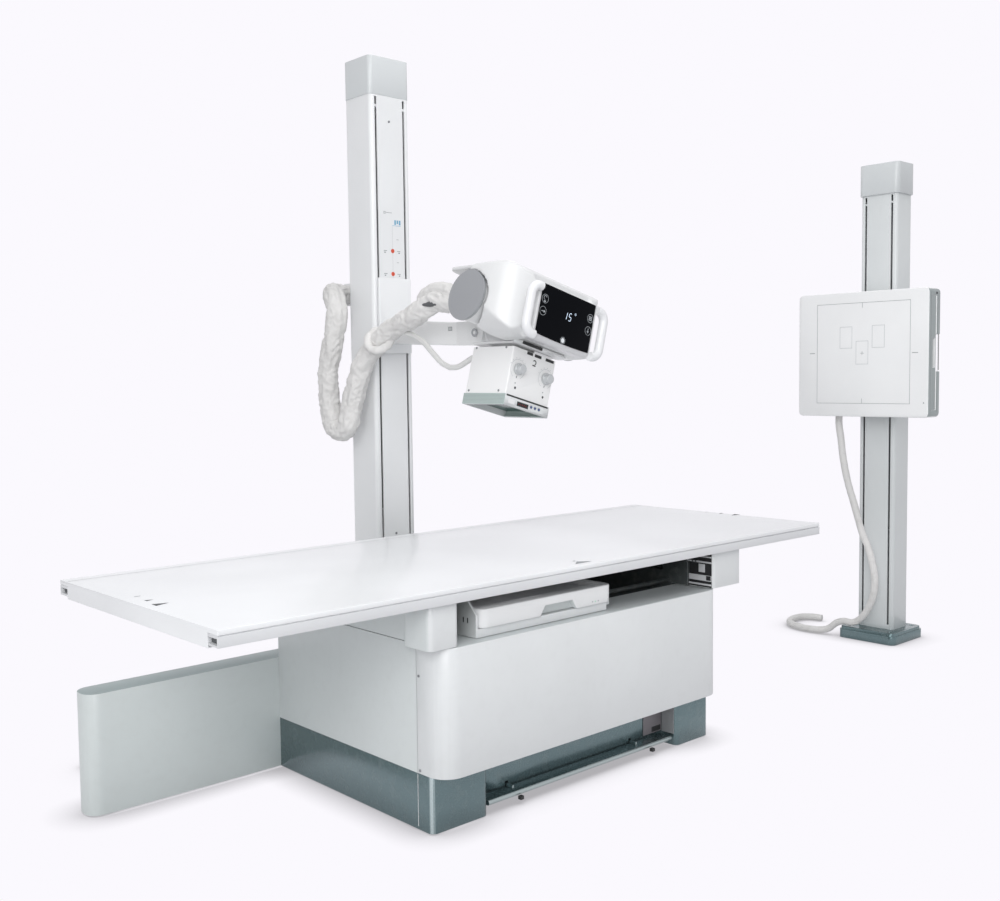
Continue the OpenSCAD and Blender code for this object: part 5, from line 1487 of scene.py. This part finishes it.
@dataclass
class TubeHead:
    """The tube head with its console, handles and collimator."""

    glass_front: float = -198 * MM
    glass_middle: float = 29 * MM
    half: float = 92 * MM
    front: float = -92 * MM
    knob_u: float = 60 * MM
    knob_w: float = -139.3 * MM

    def build(self) -> None:
        """Dresses the head's nodes and adds the console's and the collimator's details."""
        softened("head_shell", "head_cover", ("console",), HEAD_COVER, 3.4 * MM, 14, HEAD)
        up = HEAD.to_3x3().col[2]
        right = HEAD.to_3x3().col[0]
        end = own_box("tube_housing", HEAD)[1].x
        dressed("tube_housing", HEAD_COVER, 2.0 * MM, 3, also=[
            (DISC_FINISH, lambda c, n: abs((HEAD.inverted() @ c).x) > end - 0.0075)])
        for node, finish, width in (
            ("console", CONSOLE_COVER, 4.0),
            ("display_glass", BLACK_GLASS, 0.8), ("handles", HANDLE_FINISH, 0.5),
            ("collimator_housing", COLLIMATOR_PAINT, 2.0), ("knob_left", KNOB_FINISH, 1.6),
            ("knob_right", KNOB_FINISH, 1.6), ("key_1", KEY_FINISH, 0.4), ("key_2", KEY_FINISH, 0.4),
            ("key_3", KEY_FINISH, 0.4),
        ):
            dressed(node, finish, width * MM, 3)
        bottom = own_box("collimator_frame", HEAD)[0].z
        dressed("collimator_frame", WHITE_PAINT, 1.0 * MM, also=[
            (FRAME_GREEN, lambda c, n: n.dot(right) < -0.7),
            (GREEN_GLASS, lambda c, n: n.dot(up) < -0.7 and (HEAD.inverted() @ c).z > bottom + 0.006
             and max(abs((HEAD.inverted() @ c).x), abs((HEAD.inverted() @ c).y)) < 0.088),
            (DISC_FINISH, lambda c, n: n.dot(up) < -0.7 and (HEAD.inverted() @ c).z < bottom + 0.001)])
        self.display()
        self.collimator_front()
        self.flange_details()
        self.collimator_side()

    def on_head(self, u: float, v: float, w: float) -> Vector:
        """A point given along the head's own axes, in metres."""
        return HEAD @ Vector((u, v, w))

    def ahead(self, v: float, w: float, node: str) -> Face:
        """A face that looks forward, with its origin in the head's middle plane."""
        turn = HEAD.to_3x3()
        return Face(self.on_head(0.0, v, w), turn.col[0].copy(), turn.col[2].copy(), body_of(node))

    @staticmethod
    def digit(marks: Marks, finish: Finish, x: float, y: float, height: float, segments: str) -> None:
        """Draws a seven-segment figure.

        Args:
            marks: the marks that it joins.
            finish: its finish.
            x: its left side.
            y: its foot.
            height: how high it is.
            segments: which segments are lit, from a to g.
        """
        wide, line, lean = height * 0.46, height * 0.075, 0.12

        def bar(x0: float, y0: float, x1: float, y1: float) -> None:
            """Adds one leaning bar."""
            marks.shape(finish, [(x + px + lean * py, y + py) for px, py in
                                 ((x0, y0), (x1, y0), (x1, y1), (x0, y1))])

        mid, gap = height / 2, line * 0.25
        places = {"a": (line, height - line, wide - line, height),
                  "b": (wide - line, mid + gap, wide, height - line - gap),
                  "c": (wide - line, line + gap, wide, mid - gap),
                  "d": (line, 0.0, wide - line, line), "e": (0.0, line + gap, line, mid - gap),
                  "f": (0.0, mid + gap, line, height - line - gap),
                  "g": (line, mid - line / 2, wide - line, mid + line / 2)}
        for one in segments:
            bar(*places[one])

    def display(self) -> None:
        """Lights the figures and the soft keys behind the console's glass."""
        marks = Marks(self.ahead(self.glass_front, self.glass_middle, "display_glass"), 0.0004)
        self.digit(marks, DIGIT_GLOW, -0.0125, -0.003, 0.025, "bc")
        self.digit(marks, DIGIT_GLOW, 0.0065, -0.003, 0.025, "acdfg")
        marks.ring(DIGIT_GLOW, 0.0345, 0.024, 0.0032, 0.0022, steps=16)
        for x, y in ((-0.100, 0.033), (-0.101, -0.004), (0.100, 0.031), (0.099, -0.008)):
            marks.ring(ICON_GLOW, x, y, 0.0135, 0.0125, steps=40)
        marks.ring(ICON_GLOW, -0.100, 0.036, 0.0065, 0.0050, start=20.0, turn=250.0, steps=20)
        marks.bar(ICON_GLOW, -0.104, 0.023, -0.096, 0.027)
        marks.bar(ICON_GLOW, -0.107, -0.0055, -0.097, -0.0035)
        marks.shape(ICON_GLOW, [(-0.097, -0.009), (-0.091, -0.0045), (-0.097, 0.0)])
        for k in range(9):
            x, y = 0.0935 + 0.0048 * (k % 3), 0.0245 + 0.0048 * (k // 3)
            marks.bar(ICON_GLOW, x, y, x + 0.0036, y + 0.0036)
        marks.bar(ICON_GLOW, 0.0975, -0.0155, 0.0995, -0.0005)
        marks.shape(ICON_GLOW, [(0.0935, -0.009), (0.1035, -0.009), (0.0985, -0.0155)])
        marks.ring(ICON_WHITE, 0.0, -0.066, 0.0072, steps=28)
        marks.ring(ICON_GLOW, 0.0, -0.066, 0.0105, 0.0094, steps=32)
        marks.finish("display")

    def collimator_front(self) -> None:
        """Prints the collimator's front and sets its window strip and lamp display."""
        marks = Marks(self.ahead(self.front, 0.0, "collimator_housing"), 0.0004)
        for left, right in ((-0.034, -0.009), (-0.001, 0.028), (0.047, 0.083)):
            marks.bar(BLACK_PLASTIC, left, -0.0855, right, -0.0765)
        marks.ring(BLACK_PLASTIC, 0.003, -0.1025, 0.0078, 0.0044, start=-70.0, turn=220.0, steps=18)
        marks.bar(BLACK_PLASTIC, -0.004, -0.1140, 0.0095, -0.1105)
        for side in (-1, 1):
            u = side * self.knob_u
            marks.ring(FAINT_PRINT, u, self.knob_w, 0.0300, 0.0290, start=-60.0, turn=300.0, steps=48)
            for k in range(7):
                a = math.radians(20.0 + 23.0 * k)
                marks.ring(FAINT_PRINT, u + 0.034 * math.cos(a), self.knob_w + 0.034 * math.sin(a),
                           0.0014, steps=8)
            marks.bar(DARK_PRINT, u - 0.0012, self.knob_w - 0.0275, u + 0.0012, self.knob_w - 0.0205)
            marks.ring(GREY_PRINT, u - 0.001, self.knob_w - 0.043, 0.0022, steps=10)
            marks.ring(DARK_PRINT, u + 0.002, self.knob_w - 0.057, 0.0040, steps=16)
        marks.finish("dial_print")
        low, high = own_box("collimator_frame", HEAD)
        marks = Marks(self.ahead(low.y, 0.0, "collimator_frame"), 0.0004)
        marks.bar(BLACK_PLASTIC, -0.042, high.z - 0.0265, 0.006, high.z - 0.0125)
        for k in range(5):
            marks.bar(RED_GLOW, -0.036 + 0.0075 * k, high.z - 0.0215, -0.0318 + 0.0075 * k, high.z - 0.0175)
        marks.bar(BLACK_PLASTIC, -0.090, high.z - 0.0055, 0.088, high.z - 0.0005)
        marks.bar(LABEL_FINISH, -0.080, high.z - 0.026, -0.052, high.z - 0.012)
        for k in range(3):
            u = 0.018 + 0.017 * k
            marks.ring(FAINT_PRINT, u, low.z + 0.017, 0.0062, 0.0052, steps=20)
        marks.finish("lamp_strip")

    def flange_details(self) -> None:
        """Adds the dark latch under the console and the pale strip over the collimator's front."""
        plates("flange_latch", [((-92, -130.5, -70), (-10, -126, -61))], BLACK_PLASTIC,
               body_of("tube_housing"), 0.0006, HEAD)
        plates("flange_clip", [((-124, -128.5, -72), (-93, -120, -66.5))], BRACKET_PAINT,
               body_of("tube_housing"), 0.0006, HEAD)
        top = own_box("collimator_housing", HEAD)[1].z / MM
        plates("collimator_strip", [((-3, -91.6, top - 10), (72, -86, top - 1.5))], LABEL_FINISH,
               body_of("collimator_housing"), 0.0004, HEAD)

    def collimator_side(self) -> None:
        """Sets the collimator's cover screws and the ribs along its lower frame."""
        turn = HEAD.to_3x3()
        for side in (-1, 1):
            word = "left" if side < 0 else "right"
            places = [(self.on_head(side * self.half, v, w), turn.col[0] * side)
                      for v, w in ((0.075, -0.078), (-0.060, -0.079), (0.075, -0.213), (-0.060, -0.213))]
            screws(f"cover_screws_{word}", places, 0.0036, body_of("collimator_housing"), DARK_ZINC,
                   11 + side)
        low, high = own_box("collimator_frame", HEAD)
        bm = bmesh.new()
        for v in bmesh.ops.create_cube(bm, size=1.0)["verts"]:
            v.co = turn @ Vector((v.co.x * 0.0006, v.co.y * (high.y - low.y - 0.006), v.co.z * 0.0008))
        rib = from_bmesh("rib_pattern", bm, FRAME_RIB, smooth=False)
        places = [(self.on_head(low.x - 0.0001, (low.y + high.y) / 2, high.z - 0.004 - 0.0042 * k),
                   Vector((0, 0, 1))) for k in range(7)]
        REPEATS.lay("frame_ribs", rib, places, FRAME_RIB, body_of("collimator_frame"))
        REPEATS.discard(rib)


# ---------------------------------------------------------------- wall stand


@dataclass
class WallStand:
    """The wall stand with its column, bucky and foot plate."""

    front_x: float = 2035 * MM

    def build(self) -> None:
        """Dresses the wall stand's nodes and prints the bucky's front."""
        for node, finish, width in (
            ("wall_base", SLATE_PAINT, 3.0), ("wall_cap", COLUMN_CAP_PAINT, 2.0),
            ("wall_carriage", COLUMN_PAINT, 1.0),
            ("wall_column", WALL_COLUMN_PAINT, 1.2),
        ):
            dressed(node, finish, width * MM)
        for node, width in (("wall_bucky", 4.0), ("wall_tray", 1.5)):
            # Their faces that face -Y get a darker copy: painted shade on that side.
            dressed(node, WHITE_COVER, width * MM, also=[(BUCKY_SIDE_SHADE, lambda c, n: n.y < -0.7)])
        for node, finish in (("wall_counterweight", WEIGHT_IRON), ("wall_pulley", BRUSHED_STEEL),
                             ("wall_rope", BRUSHED_STEEL)):
            painted(node, finish)
        self.front_marks()
        self.side_marks()

    def front_marks(self) -> None:
        """Prints the field outline, the chambers and the cross on the bucky's front."""
        face = Face(Vector((self.front_x, 0.0, 0.0)), Vector((0, -1, 0)), Vector((0, 0, 1)),
                    body_of("wall_bucky"))
        marks = Marks(face, 0.0004)
        line = 0.0016
        marks.frame(FIELD_PRINT, -0.145, 1.036, 0.286, 1.464, line)
        for y0, y1, z0, z1 in ((-0.035, 0.023, 1.272, 1.364), (0.115, 0.172, 1.272, 1.366),
                               (0.041, 0.098, 1.203, 1.302)):
            marks.frame(FAINT_PRINT, y0, z0, y1, z1, line)
        marks.bar(FIELD_PRINT, 0.062, 1.2492, 0.078, 1.2508)
        marks.bar(FIELD_PRINT, 0.0692, 1.242, 0.0708, 1.258)
        marks.bar(FIELD_PRINT, -0.181, 1.252, -0.156, 1.2545)
        marks.bar(FIELD_PRINT, 0.294, 1.246, 0.320, 1.2485)
        for z in (1.452, 1.048):
            marks.bar(FIELD_PRINT, 0.0692, z - 0.010, 0.0708, z + 0.010)
        marks.ring(GREY_PRINT, 0.346, 1.041, 0.0028, steps=14)
        marks.finish("bucky_print")

    def side_marks(self) -> None:
        """Draws the joints between the bucky's layers on its sides."""
        for side in (-1, 1):
            y = -0.366 if side < 0 else 0.236
            face = Face(Vector((0.0, y, 0.0)), Vector((-side, 0, 0)), Vector((0, 0, 1)),
                        body_of("wall_bucky"))
            marks = Marks(face, 0.0004)
            for x0, x1, z0, z1, finish in (
                (2.0500, 2.0512, 0.995, 1.495, GREY_PRINT), (2.0585, 2.0597, 1.000, 1.490, LINE_PRINT),
                (2.1060, 2.1075, 1.000, 1.490, GREY_PRINT), (2.1120, 2.1190, 1.174, 1.321, DARK_PRINT),
                (2.0900, 2.1040, 1.484, 1.4925, DARK_PRINT),
            ):
                low, high = sorted((-side * x0, -side * x1))
                marks.bar(finish, low, z0, high, z1)
            marks.finish(f"bucky_joint_{'near' if side < 0 else 'far'}")


def main() -> None:
    """Builds the room and the machine, one sub-assembly after the other."""
    logging.basicConfig(level=logging.INFO, format="%(message)s")
    for part in (Studio(), Cables(), Table(), TubeColumn(), TubeHead(), WallStand()):
        part.build()
        LOG.info("built %s", type(part).__name__)


if __name__ == "__main__":
    main()
